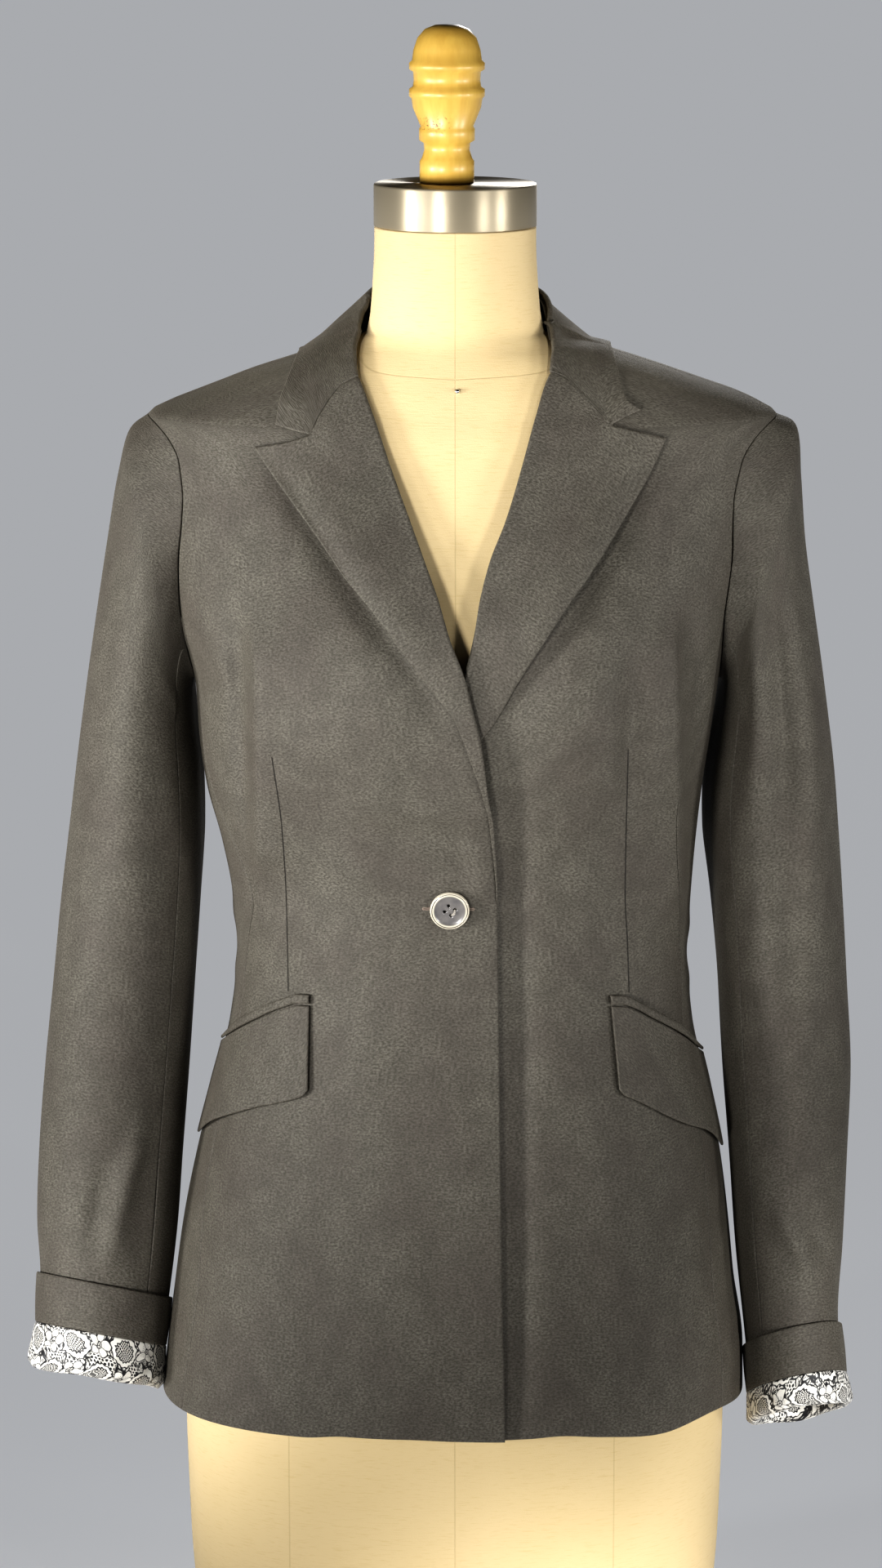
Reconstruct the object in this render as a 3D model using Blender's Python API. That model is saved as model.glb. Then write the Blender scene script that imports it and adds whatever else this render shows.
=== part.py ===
"""A one-button blazer worn on a limbless dress form.

Axes: X to the wearer's left, -Y to the front, +Z up, the floor at z = 0.
Sizes are in millimetres, and MM turns them into scene units when a mesh is made.

The garment's outer face is one surface, a stack of level rings. Every panel is a stretch
of it between two seams, and a pocket, a lapel or a button is that surface moved outwards.
"Right" and "left" are the wearer's.
"""

import math

import bmesh
import bpy
import numpy as np

MM = 0.001

# Cloth walls and the play between pieces.
CLOTH = 1.8
SLEEVE_CLOTH = 1.5
LINING_CLOTH = 1.2
SEAM_GAP = 0.5
LAYER_GAP = 0.5

# Levels, measured from the floor.
HEM_Z = 173.0
ARMHOLE_LOW_Z = 604.0
ARMHOLE_TOP_Z = 759.0
NECK_Z = 802.0

# How far the hem rises above its level across the front, and the height that this fades over.
HEM_FADE = 50.0
HEM = (
    ("x", "lift"),
    (-150, 0.5),
    (-120, 1.0),
    (-88, 1.5),
    (-65, 4.0),
    (-30, 4.3),
    (0, 3.5),
    (29, 2.8),
    (60, 4.5),
    (85, 2.0),
    (120, -1.5),
    (154, 3.0),
    (176, 0.0),
)

RIGHT, LEFT = -1, 1
SIDES = {"right": RIGHT, "left": LEFT}

# The garment's rings: half-widths to each side, depths to the front and back, and the
# power of the oval (2 is an ellipse, more is squarer).
TORSO = (
    ("z", "right", "left", "front", "back", "square"),
    (160, 176.5, 173.0, 122.0, 129.0, 2.30),
    (200, 172.0, 172.5, 122.5, 131.0, 2.30),
    (242, 166.0, 166.0, 122.0, 132.0, 2.30),
    (280, 160.5, 162.0, 119.5, 130.0, 2.30),
    (322, 152.5, 157.0, 114.0, 122.0, 2.30),
    (362, 142.5, 149.0, 107.0, 110.0, 2.28),
    (401, 133.0, 140.5, 100.0, 97.0, 2.25),
    (441, 128.5, 137.0, 96.0, 89.0, 2.22),
    (476, 131.0, 139.0, 98.0, 87.0, 2.22),
    (509, 137.0, 141.5, 103.0, 89.5, 2.25),
    (542, 145.5, 145.0, 110.0, 94.0, 2.30),
    (570, 149.5, 149.0, 116.0, 98.0, 2.35),
    (603, 151.5, 153.5, 121.0, 102.0, 2.38),
    (645, 163.0, 160.0, 119.0, 105.0, 2.35),
    (680, 169.0, 169.0, 109.0, 105.0, 2.30),
    (720, 173.5, 178.0, 93.0, 101.0, 2.28),
    (745, 176.0, 183.5, 82.0, 94.0, 2.25),
    (759, 177.5, 186.0, 75.5, 88.5, 2.22),
    (765, 167.5, 177.5, 72.0, 86.0, 2.20),
    (771, 152.5, 165.0, 69.0, 83.5, 2.18),
    (777, 137.0, 148.0, 66.0, 80.5, 2.15),
    (784, 119.0, 128.0, 62.0, 76.5, 2.10),
    (791, 97.0, 107.0, 58.0, 72.0, 2.05),
    (797, 78.5, 88.0, 55.0, 68.0, 2.00),
    (804, 62.0, 66.0, 52.0, 63.0, 2.00),
    (812, 51.0, 54.0, 47.0, 58.0, 2.00),
)

# Soft forms that stand out of the front: the bust, and the long folds that run down from
# it beside each armhole. Each is a rounded ridge between two ends, which die away over
# END_SPREAD times its reach.
END_SPREAD = 1.1
FORMS = (
    ("x", "z", "x_end", "z_end", "height", "reach", "side"),
    (80, 588, 80, 618, 9.0, 40, RIGHT),
    (80, 588, 80, 618, 9.0, 40, LEFT),
    (112, 632, 109, 520, 2.2, 11, RIGHT),
    (119, 636, 128, 455, 2.6, 10, LEFT),
    (62, 520, 58, 400, 1.6, 16, RIGHT),
    (66, 400, 120, 250, 1.8, 20, LEFT),
)

# The free front edge up to the break, then the roll line, then the neckline.
FRONT_EDGE = (
    ("z", "right", "left"),
    (172, 28.8, -24.0),
    (210, 28.3, -24.0),
    (264, 26.8, -24.0),
    (340, 25.8, -24.0),
    (421, 24.8, -24.0),
    (488, 23.4, -23.5),
    (534, 21.3, -21.5),
    (560, 17.8, -18.0),
    (578, 16.1, -14.0),
    (591, 14.0, -9.5),
    (607, 9.8, -3.5),
    (626, 5.0, 4.5),
    (650, -4.1, 10.5),
    (666, -9.0, 13.2),
    (688, -17.0, 19.0),
    (710, -25.3, 28.0),
    (738, -36.1, 37.0),
    (766, -46.2, 45.3),
    (786, -54.7, 52.3),
    (792, -58.3, 57.0),
    (797, -60.8, 60.5),
    (802, -62.5, 64.0),
)
BREAK_Z = 560.0

# Where the right front climbs over the left one, from its side of the overlap to its edge,
# and the levels between which it also climbs over the tail of the left lapel.
OVERLAP_X = (-78.0, -32.0)
OVERLAP_END_Z = (650.0, 720.0)
LAPEL_TAIL_Z = (530.0, 550.0, 630.0, 665.0)

# The outer edge of each lapel, from the break up to the tip of the peak.
LAPEL_EDGE = (
    ("up", "right_x", "right_z", "left_x", "left_z"),
    (0.00, 15.0, 560.0, -15.0, 562.0),
    (0.10, 9.5, 576.0, 3.0, 578.0),
    (0.22, 0.5, 601.0, 21.0, 598.0),
    (0.34, -15.0, 623.0, 35.0, 623.0),
    (0.46, -33.0, 649.0, 49.5, 648.0),
    (0.60, -55.0, 673.0, 65.0, 672.0),
    (0.74, -77.0, 698.0, 82.5, 697.0),
    (0.88, -98.0, 725.0, 103.5, 724.0),
    (1.00, -113.3, 747.8, 118.8, 752.6),
)

# The lapel stands off the front between two shares of its length, most at its outer edge.
LAPEL_LIFT = {"right": 3.0, "left": 4.5}
LAPEL_LIFT_UP = (0.22, 1.12)
LAPEL_REST = 0.8  # what its whole upper part stands off besides

# The gorge seam from the roll line out to the notch, then the two free edges beyond it.
GORGE = (
    ("right_x", "right_z", "left_x", "left_z"),
    (-54.7, 786.0, 53.2, 788.6),
    (-63.0, 782.0, 61.0, 785.5),
    (-69.4, 774.8, 69.5, 777.2),
    (-75.8, 765.7, 79.0, 768.8),
    (-81.7, 755.3, 87.5, 760.0),
)
PEAK_TOP = (
    ("right_x", "right_z", "left_x", "left_z"),
    (-94.0, 751.4, 99.0, 757.4),
    (-113.3, 747.8, 118.8, 752.6),
)
COLLAR_END = (
    ("right_x", "right_z", "left_x", "left_z"),
    (-91.0, 757.2, 96.5, 763.8),
    (-101.3, 759.5, 104.5, 766.6),
)

# The collar from the centre back to the gorge: its fold line, and its outer edge.
COLLAR = (
    ("along", "fold_x", "fold_y", "fold_z", "edge_x", "edge_y", "edge_z"),
    (0.00, 0.0, 59.0, 834.0, 0.0, 76.5, 790.5),
    (0.18, 27.0, 54.0, 833.0, 44.0, 71.5, 790.5),
    (0.34, 44.5, 38.0, 830.5, 75.0, 55.0, 790.0),
    (0.50, 51.2, 14.0, 825.0, 88.5, 24.0, 793.0),
    (0.64, 54.0, -10.0, 812.5, 90.0, -8.0, 796.0),
    (0.80, 55.4, -34.0, 800.5, 94.0, -41.0, 787.5),
    (0.90, 55.0, -48.0, 793.5, 98.5, -59.5, 775.5),
)

COLLAR_SHIFT = -1.4  # the whole collar sits a little to the wearer's right at the front
COLLAR_CROWN = 0.8
STAND_END = 0.70  # how far along the collar its stand reaches
STAND_BELOW_FOLD = 3.4

# Where a seam stands on its ring, as a share of the half-width.
FRONT_SEAM = (
    ("z", "right", "left"),
    (172, 0.925, 0.912),
    (244, 0.915, 0.918),
    (312, 0.941, 0.930),
    (400, 0.955, 0.952),
    (430, 0.957, 0.968),
    (455, 0.935, 0.955),
    (484, 0.890, 0.935),
    (512, 0.925, 0.905),
    (540, 0.960, 0.885),
    (566, 0.975, 0.920),
    (590, 0.980, 0.968),
    (643, 0.970, 0.970),
)
BACK_SEAM = (
    ("z", "share"),
    (172, 0.90),
    (300, 0.88),
    (446, 0.85),
    (540, 0.90),
    (600, 0.95),
    (643, 0.965),
)
ARMHOLE = (
    ("z", "front", "back"),
    (604, 1.000, 1.000),
    (606.6, 0.999, 0.999),
    (614.4, 0.994, 0.993),
    (626.7, 0.984, 0.982),
    (643, 0.970, 0.965),
    (661.4, 0.956, 0.940),
    (681.5, 0.938, 0.918),
    (701.6, 0.914, 0.908),
    (720.3, 0.900, 0.908),
    (736.3, 0.904, 0.920),
    (748.6, 0.933, 0.945),
    (756.4, 0.975, 0.980),
    (759, 1.000, 1.000),
)

# Long soft ridges of the sleeves, by the turn in degrees round the sleeve (0 is its outside
# and 90 its front) and the levels that they run between.
FOLD_FADE = 30.0
SLEEVE_FOLDS = (
    ("side", "turn", "z_high", "z_low", "height", "reach"),
    (RIGHT, 80, 690, 440, 2.2, 22),
    (RIGHT, 114, 340, 262, 2.6, 18),
    (LEFT, 97, 680, 500, 2.0, 22),
    (LEFT, 66, 430, 290, 2.2, 22),
)

# Each sleeve's rings, from just past the armhole to just above the cuff: the points
# nearest the body and furthest from it, the middle's y, the half depth from front to back,
# and the lean in degrees that lifts the ring's front as the forearm swings forwards.
SLEEVE_COLUMNS = ("in_x", "in_z", "out_x", "out_z", "y", "depth", "lean")
SLEEVES = {
    "right": (
        SLEEVE_COLUMNS,
        (152.7, 603, 189.5, 748, 4, 53.0, 0),
        (153.4, 601, 196.0, 723, 6, 56.0, 0),
        (153.8, 598, 202.5, 686, 8, 57.5, 0),
        (153.8, 593, 208.0, 652, 9, 58.0, 0),
        (153.4, 585, 213.0, 620, 10, 58.0, 0),
        (152.5, 573, 218.0, 586, 10, 57.0, 0),
        (150.5, 553, 222.5, 553, 11, 56.0, 0),
        (149.0, 515, 227.3, 515, 11, 53.0, 0),
        (150.7, 470, 233.0, 470, 10, 50.0, 0),
        (154.2, 420, 238.2, 420, 8, 47.5, 2),
        (157.8, 370, 243.5, 370, 5, 45.5, 5),
        (162.0, 318, 247.5, 320, 0, 43.5, 10),
        (165.5, 272, 249.0, 276, -6, 42.0, 15),
    ),
    "left": (
        SLEEVE_COLUMNS,
        (155.2, 603, 198.5, 750, 4, 53.0, 0),
        (156.4, 601, 201.0, 723, 6, 56.0, 0),
        (156.8, 598, 204.0, 686, 8, 57.5, 0),
        (156.6, 593, 208.8, 652, 9, 58.0, 0),
        (156.0, 585, 213.7, 620, 10, 58.0, 0),
        (154.3, 573, 218.5, 586, 10, 57.5, 0),
        (151.2, 553, 222.8, 553, 11, 57.0, 0),
        (149.6, 515, 226.2, 515, 11, 55.0, 0),
        (153.3, 470, 229.5, 470, 10, 53.0, 0),
        (156.2, 420, 232.6, 420, 8, 51.0, 3),
        (159.2, 370, 235.4, 370, 5, 49.5, 8),
        (163.4, 318, 233.6, 318, -2, 48.0, 15),
        (167.5, 262, 231.3, 264, -9, 46.5, 22),
    ),
}

# Each turned-up cuff: its top edge, the seam between cloth and lining, and the fold that
# ends the sleeve.
CUFFS = {
    "right": (
        SLEEVE_COLUMNS,
        (168.5, 229, 249.5, 245, -11, 41.0, 17),
        (172.5, 200, 250.5, 215, -14, 40.0, 17),
        (176.0, 174, 254.0, 188, -17, 40.0, 17),
    ),
    "left": (
        SLEEVE_COLUMNS,
        (171.8, 201, 231.0, 214, -17, 45.0, 24),
        (174.5, 173, 234.0, 185, -21, 44.0, 24),
        (177.0, 155, 236.5, 166, -24, 43.0, 24),
    ),
}
# Rows of each layer in a cuff: how far down from the top edge (1 is the lining's seam and
# 2 the fold), and how far outside the cuff's own line.
BAND_ROWS = ((0.0, 0.0), (0.5, 0.4), (1.0, 0.1))
LINING_ROWS = ((1.0, 0.0), (1.5, 1.2), (1.85, 1.3), (2.0, -2.6), (1.9, -5.7), (1.5, -6.0))
SLEEVE_END_ROWS = ((0.0, -2.3), (0.9, -2.3), (1.8, -2.6))
LINING_WAVES = ((5, 0.7, 0.6), (8, 0.5, 2.1))  # waves round the cuff, their height, their turn
LINING_LOOSE = (0.0, 0.8, 1.0, 0.7, 0.2, 0.0)  # how freely each row of the lining waves

# Places round the sleeve where its two seams run: 135 and 240 degrees.
SEAM_FRONT, SEAM_BACK = 9, 16

# The pocket opening and the flap's lower edge, along the flap from its front end.
POCKET = (
    ("along", "right_top", "right_bottom", "left_top", "left_bottom"),
    (0.00, 425.3, 374.5, 425.0, 374.5),
    (0.09, 424.6, 370.5, 423.8, 370.0),
    (0.17, 421.8, 367.5, 420.6, 365.2),
    (0.30, 416.6, 363.2, 413.4, 357.2),
    (0.44, 410.3, 357.5, 407.2, 351.0),
    (0.65, 403.0, 349.5, 400.0, 343.2),
    (0.86, 398.0, 342.0, 394.4, 335.5),
    (1.00, 395.2, 337.5, 390.5, 331.0),
)
POCKET_FRONT_X = {"right": (-83.3, -84.0), "left": (89.2, 93.6)}  # at the top and the bottom
POCKET_TOP_Z, POCKET_DEPTH = 425.0, 50.0  # at the flap's front end
POCKET_END = math.radians(86)  # where the flap ends, round the side
WELT_HEIGHT = 6.8
FLAP_STAND = 2.6

BUTTON_PLACE = (-3.3, 488.0)
BUTTON_RADIUS = 11.3
BUTTON_HEIGHT = 3.4
BUTTON_RIM = 2.6
BUTTON_WELL = 1.0
HOLE_RADIUS, HOLE_FROM_MIDDLE = 1.0, 2.6

# The dress form below the hem and up the neck; between them it follows the garment.
FORM_COLUMNS = ("z", "right", "left", "front", "back", "square")
FORM_LOW = (
    FORM_COLUMNS,
    (15.4, 151.0, 151.0, 101.0, 112.0, 2.3),
    (30, 154.5, 154.5, 103.5, 115.0, 2.3),
    (65, 157.5, 157.5, 106.5, 118.0, 2.3),
    (117, 160.0, 160.0, 109.0, 121.0, 2.3),
    (152, 161.0, 161.0, 110.0, 122.5, 2.3),
    (210, 160.5, 160.5, 111.5, 123.0, 2.3),
)
FORM_NECK = (
    FORM_COLUMNS,
    (804, 54.0, 55.0, 47.5, 57.8, 2.0),
    (812, 50.0, 50.4, 46.3, 56.4, 2.0),
    (822, 48.6, 48.8, 45.6, 55.4, 2.0),
    (836, 47.6, 47.6, 44.3, 54.5, 2.0),
    (856, 46.6, 46.6, 42.5, 52.5, 2.0),
    (866.7, 46.6, 46.6, 41.6, 51.6, 2.0),
)
# The levels of the form's rings: below the garment, inside it, and up the neck.
FORM_LOW_ROWS = (15.4, 20, 65, 117, 152, 200)
FORM_INNER_ROWS = (
    *(245, 300, 360, 420, 470, 520, 565, 605, 645, 685),
    *(720, 742, 757, 764, 771, 778, 785, 791, 796),
)
FORM_NECK_ROWS = (804, 813, 823, 838, 856, 866.7)

# How far the form lies inside the garment's outer face.
FORM_INSET = (
    ("z", "inset"),
    (240, 7.0),
    (330, 6.5),
    (441, 8.0),
    (560, 5.5),
    (610, 3.6),
    (680, 3.0),
    (735, 3.8),
    (765, 3.6),
    (797, 3.0),
)
FORM_SIDES = 28

NECK_MIDDLE_Y = 5.0
CAP_RADIUS, CAP_BEVEL = 47.0, 1.2
CAP_LOW_Z, CAP_TOP_Z = 867.0, 891.5
FINIAL_X = -4.8
FINIAL = (
    ("r", "z"),
    (0.0, 982.0),
    (7.0, 981.5),
    (12.7, 979.2),
    (16.9, 974.3),
    (19.2, 967.5),
    (20.0, 961.6),
    (21.7, 960.0),
    (21.7, 956.4),
    (19.4, 955.0),
    (19.1, 950.0),
    (19.6, 946.6),
    (21.7, 945.2),
    (21.7, 941.2),
    (20.4, 939.8),
    (19.6, 934.5),
    (15.2, 924.0),
    (16.0, 922.4),
    (16.0, 916.0),
    (13.4, 914.4),
    (13.0, 910.5),
    (14.4, 906.0),
    (15.7, 904.0),
    (15.7, 891.8),
)
FINIAL_SIDES = 16

BASE_HEIGHT, BASE_BEVEL = 15.0, 2.0
BASE_HALF_WIDTH, BASE_FRONT, BASE_BACK = 156.0, 106.0, 118.0
BASE_SQUARE = 2.3

COLOURS = {
    "wool": ("4B473E", 0.62, 0.0),
    "lining": ("C9C6C2", 0.55, 0.0),
    "horn": ("1B1A1C", 0.25, 0.0),
    "cotton": ("F1E4BE", 0.80, 0.0),
    "steel": ("B9B5AE", 0.30, 1.0),
    "wood": ("B07B33", 0.45, 0.0),
}


# ---------------------------------------------------------------- tables and shapes


def column(table, name):
    """One column of a table, whose first row names the columns."""
    return np.array([row[table[0].index(name)] for row in table[1:]], float)


def end_slopes_and_middle(steps, slopes):
    """Slopes at the knots that keep a curve from overshooting its table."""
    inner = np.zeros(len(slopes) - 1)
    rising = slopes[:-1] * slopes[1:] > 0
    before, after = 2 * steps[1:] + steps[:-1], steps[1:] + 2 * steps[:-1]
    inner[rising] = (before + after)[rising] / (
        before[rising] / slopes[:-1][rising] + after[rising] / slopes[1:][rising]
    )
    return np.concatenate([slopes[:1], inner, slopes[-1:]])


def read(table, name, at):
    """A column read at any place along the table's first column, on a smooth curve."""
    knots, values = column(table, table[0][0]), column(table, name)
    at = np.clip(np.asarray(at, float), knots[0], knots[-1])
    steps = np.diff(knots)
    slopes = end_slopes_and_middle(steps, np.diff(values) / steps)
    piece = np.clip(np.searchsorted(knots, at) - 1, 0, len(steps) - 1)
    step = steps[piece]
    t = (at - knots[piece]) / step
    start = (1 + 2 * t) * (1 - t) ** 2 * values[piece] + t * (1 - t) ** 2 * step * slopes[piece]
    end = t**2 * (3 - 2 * t) * values[piece + 1] + t**2 * (t - 1) * step * slopes[piece + 1]
    return start + end


def smooth(start, end, value):
    """0 before start and 1 after end, with a soft rise between them."""
    t = np.clip((value - start) / (end - start), 0, 1)
    return t * t * (3 - 2 * t)


def signed_power(value, power):
    return np.sign(value) * np.abs(value) ** power


def half_sizes(table, on_right, in_front, z):
    """A ring's half-width and depth, on the side and the face asked for."""
    width = np.where(on_right, read(table, "right", z), read(table, "left", z))
    depth = np.where(in_front, read(table, "front", z), read(table, "back", z))
    return width, depth


def oval(table, angle, z):
    """A ring's point: the angle is 0 at the front and grows towards the wearer's left."""
    sine, cosine = np.sin(angle), np.cos(angle)
    width, depth = half_sizes(table, sine < 0, cosine > 0, z)
    power = 2 / read(table, "square", z)
    return width * signed_power(sine, power), -depth * signed_power(cosine, power)


def relief(x, z):
    """How far the bust and the long folds stand out of the rings at this place."""
    total = np.zeros(np.broadcast(x, z).shape)
    for x0, z0, x1, z1, height, reach, side in FORMS[1:]:
        along = np.clip((z - z0) / (z1 - z0), 0, 1)
        across = (x - side * (x0 + along * (x1 - x0))) / reach
        beyond = (z - (z0 + along * (z1 - z0))) / (END_SPREAD * reach)
        total += height * np.exp(-(across**2) - beyond**2)
    return total


def skin(angle, z):
    """The garment's outer face, before anything is laid on it."""
    angle, z = np.broadcast_arrays(np.asarray(angle, float), np.asarray(z, float))
    x, y = oval(TORSO, angle, z)
    facing = smooth(0.0, 0.35, np.cos(angle))
    return np.stack([x, y - facing * relief(x, z), z], axis=-1)


def unit(vectors):
    return vectors / np.linalg.norm(vectors, axis=-1, keepdims=True)


def outward(angle, z):
    """The face's normal, from two short steps across it."""
    turn, rise = math.radians(1.0), 1.5
    across = skin(angle + turn, z) - skin(angle - turn, z)
    upwards = skin(angle, z + rise) - skin(angle, z - rise)
    return unit(np.cross(across, upwards))


def face(angle, z, out=0.0):
    """The garment's outer face, moved out by some millimetres."""
    return skin(angle, z) + np.asarray(out)[..., None] * outward(angle, z)


def angle_at_share(share, side, z, back=False):
    """The angle where a ring is this share of its half-width away from the middle."""
    from_middle = np.arcsin(np.clip(share, 0, 1) ** (read(TORSO, "square", z) / 2))
    return side * (math.pi - from_middle if back else from_middle)


def angle_at_x(x, z):
    """The angle on the front where a ring passes this x."""
    width = np.where(x < 0, read(TORSO, "right", z), read(TORSO, "left", z))
    return angle_at_share(np.abs(x) / width, np.sign(x), z)


# ------------------------------------------------------------------ making objects


def clear_scene():
    for item in list(bpy.data.objects):
        bpy.data.objects.remove(item)


def linear(hex_colour):
    """An sRGB hex colour as linear RGBA."""
    parts = [int(hex_colour[i : i + 2], 16) / 255 for i in (0, 2, 4)]
    return [c / 12.92 if c <= 0.04045 else ((c + 0.055) / 1.055) ** 2.4 for c in parts] + [1.0]


def material(name):
    found = bpy.data.materials.get(name)
    if found:
        return found
    colour, roughness, metallic = COLOURS[name]
    made = bpy.data.materials.new(name)
    made.use_nodes = True
    shader = made.node_tree.nodes["Principled BSDF"]
    shader.inputs["Base Color"].default_value = linear(colour)
    shader.inputs["Roughness"].default_value = roughness
    shader.inputs["Metallic"].default_value = metallic
    made.diffuse_color = linear(colour)
    return made


def add_object(name, bm, finish):
    mesh = bpy.data.meshes.new(name)
    bm.to_mesh(mesh)
    bm.free()
    mesh.materials.append(material(finish))
    mesh.shade_smooth()
    made = bpy.data.objects.new(name, mesh)
    bpy.context.scene.collection.objects.link(made)
    return made


def grid_mesh(points, around=False, flip=False):
    """A mesh over a grid of points, rows by columns. A grid that goes around is joined up."""
    rows, columns = points.shape[:2]
    bm = bmesh.new()
    verts = [[bm.verts.new(p) for p in row] for row in points * MM]
    for i in range(rows - 1):
        for j in range(columns if around else columns - 1):
            after = (j + 1) % columns
            corners = [verts[i][j], verts[i][after], verts[i + 1][after], verts[i + 1][j]]
            bm.faces.new(corners[::-1] if flip else corners)
    return bm


def cloth(name, points, thickness=CLOTH, finish="wool", around=False, flip=False):
    """A sheet of cloth whose face is the grid, with its wall behind that face."""
    sheet = add_object(name, grid_mesh(points, around, flip), finish)
    wall = sheet.modifiers.new("wall", "SOLIDIFY")
    wall.thickness = thickness * MM
    wall.offset = -1
    return sheet


# The edges of a grid, each with the line of points next to it.
EDGES = {
    "first": (np.s_[:, 0], np.s_[:, 1]),
    "last": (np.s_[:, -1], np.s_[:, -2]),
    "bottom": (np.s_[0], np.s_[1]),
    "top": (np.s_[-1], np.s_[-2]),
}


def trimmed(points, sides, by=SEAM_GAP / 2):
    """The grid drawn in along its seams: first and last columns, bottom and top rows."""
    points = points.copy()
    for side in sides:
        edge, inside = EDGES[side]
        points[edge] += by * unit(points[inside] - points[edge])
    return points


def turned(name, profile, axis_x, axis_y, sides, finish):
    """A solid turned round an upright axis, from a profile that runs down its outside."""
    bm = bmesh.new()
    points = [bm.verts.new((r * MM, 0, z * MM)) for r, z in profile]
    for upper, lower in zip(points, points[1:]):
        bm.edges.new((upper, lower))
    made = add_object(name, bm, finish)
    made.location = (axis_x * MM, axis_y * MM, 0)
    screw = made.modifiers.new("turn", "SCREW")
    screw.steps = screw.render_steps = sides
    screw.use_merge_vertices = True
    screw.merge_threshold = 1e-5
    return made


def lofted(name, rings, finish):
    """A closed solid through level rings, bottom to top, with a flat face at each end."""
    bm = grid_mesh(rings, around=True)
    bm.verts.ensure_lookup_table()
    columns = rings.shape[1]
    bm.faces.new(bm.verts[:columns][::-1])
    bm.faces.new(bm.verts[-columns:])
    return add_object(name, bm, finish)


# ------------------------------------------------------------------ the rows they share


ROUND = np.radians(np.arange(0, 360, 15))  # the armhole and the sleeve: 0 top, 90 front
JOIN = math.radians(120)  # where the side panel's seams reach the armhole


def armhole_z(turn):
    middle, half = (ARMHOLE_TOP_Z + ARMHOLE_LOW_Z) / 2, (ARMHOLE_TOP_Z - ARMHOLE_LOW_Z) / 2
    return middle + half * np.cos(turn)


JOIN_Z = float(armhole_z(JOIN))
LOW_ROWS = np.concatenate([np.linspace(HEM_Z, 378, 6), np.linspace(402, JOIN_Z, 10)])
ARMHOLE_ROWS = armhole_z(ROUND[:8])[::-1]
SHOULDER_ROWS = np.array([764.5, 770, 776, 783, 790, 796.5, NECK_Z])
PANEL_ROWS = np.concatenate([LOW_ROWS, ARMHOLE_ROWS, SHOULDER_ROWS])


def armhole_angle(turn, side):
    """The body angle of the armhole seam at a turn round the armhole."""
    z = armhole_z(turn)
    front = angle_at_share(read(ARMHOLE, "front", z), side, z)
    back = angle_at_share(read(ARMHOLE, "back", z), side, z, back=True)
    return np.where(np.sin(turn) >= 0, front, back)


def hem_line(angle, z):
    """Levels near the hem, lifted to the hem's own line; rows above it, or behind, stay level."""
    lift = read(HEM, "lift", skin(angle, z)[..., 0]) * smooth(-0.2, 0.35, np.cos(angle))
    return z + lift * (1 - smooth(HEM_Z, HEM_Z + HEM_FADE, z))


def front_limit(z, name):
    """The body angle where the front panel ends: side seam, armhole, then shoulder seam."""
    side = SIDES[name]
    seam = angle_at_share(read(FRONT_SEAM, name, z), side, z)
    armhole = angle_at_share(read(ARMHOLE, "front", z), side, z)
    shoulder = side * math.pi / 2
    return np.where(z <= JOIN_Z, seam, np.where(z < ARMHOLE_TOP_Z, armhole, shoulder))


def back_limit(z, name):
    side = SIDES[name]
    seam = angle_at_share(read(BACK_SEAM, "share", z), side, z, back=True)
    armhole = angle_at_share(read(ARMHOLE, "back", z), side, z, back=True)
    shoulder = side * math.pi / 2
    return np.where(z <= JOIN_Z, seam, np.where(z < ARMHOLE_TOP_Z, armhole, shoulder))


# ------------------------------------------------------------------ the body's panels


def overlap_rise(x, z):
    """How far the right front lifts to lie over the left front, and over its lapel's end."""
    low, full, fading, high = LAPEL_TAIL_Z
    over_front = (CLOTH + LAYER_GAP) * (1 - smooth(*OVERLAP_END_Z, z))
    over_lapel = (CLOTH + 3 * LAYER_GAP) * smooth(low, full, z) * (1 - smooth(fading, high, z))
    return smooth(*OVERLAP_X, x) * (over_front + over_lapel)


def between(start, end, shares):
    """Rows of angles that run from start to end in the given shares."""
    return start[:, None] + (end - start)[:, None] * shares[None, :]


def front_panel(name):
    z = PANEL_ROWS
    edge = angle_at_x(read(FRONT_EDGE, name, z), z)
    limit = front_limit(z, name)
    shares = np.linspace(0, 1, 12)
    angles = between(limit, edge, shares) if name == "right" else between(edge, limit, shares)
    level = np.broadcast_to(z[:, None], angles.shape)
    heights = hem_line(angles, level)
    out = overlap_rise(skin(angles, level)[..., 0], heights) if name == "right" else 0.0
    points = face(angles, heights, out)
    seam = "first" if name == "right" else "last"
    cloth(f"front_{name}", trimmed(points, [seam]))


def back_panel(name):
    z = PANEL_ROWS
    centre = np.full(len(z), SIDES[name] * math.pi)
    limit = back_limit(z, name)
    shares = np.linspace(0, 1, 9)
    angles = between(centre, limit, shares) if name == "right" else between(limit, centre, shares)
    points = face(angles, np.broadcast_to(z[:, None], angles.shape))
    cloth(f"back_{name}", trimmed(points, ["first", "last"]))


def side_panel(name):
    """Its columns end on the points of the armhole's lower arc."""
    turns = ROUND[(ROUND >= JOIN - 0.01) & (ROUND <= 2 * math.pi - JOIN + 0.01)]
    top_z = armhole_z(turns)
    share_up = (LOW_ROWS - HEM_Z) / (JOIN_Z - HEM_Z)
    z = HEM_Z + share_up[:, None] * (top_z - HEM_Z)[None, :]
    front = front_limit(z[:, :1], name)
    back = back_limit(z[:, -1:], name)
    top = armhole_angle(turns, SIDES[name])
    at_top = (top - top[0]) / (top[-1] - top[0])
    level = np.linspace(0, 1, len(turns))
    shares = level + smooth(0.75, 1.0, share_up)[:, None] * (at_top - level)
    angles = front + (back - front) * shares
    if name == "right":
        angles, z = angles[:, ::-1], z[:, ::-1]
    points = face(angles, hem_line(angles, z))
    cloth(f"side_{name}", trimmed(points, ["first", "last", "top"]))


# ------------------------------------------------------------------ lapels and collar


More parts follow.
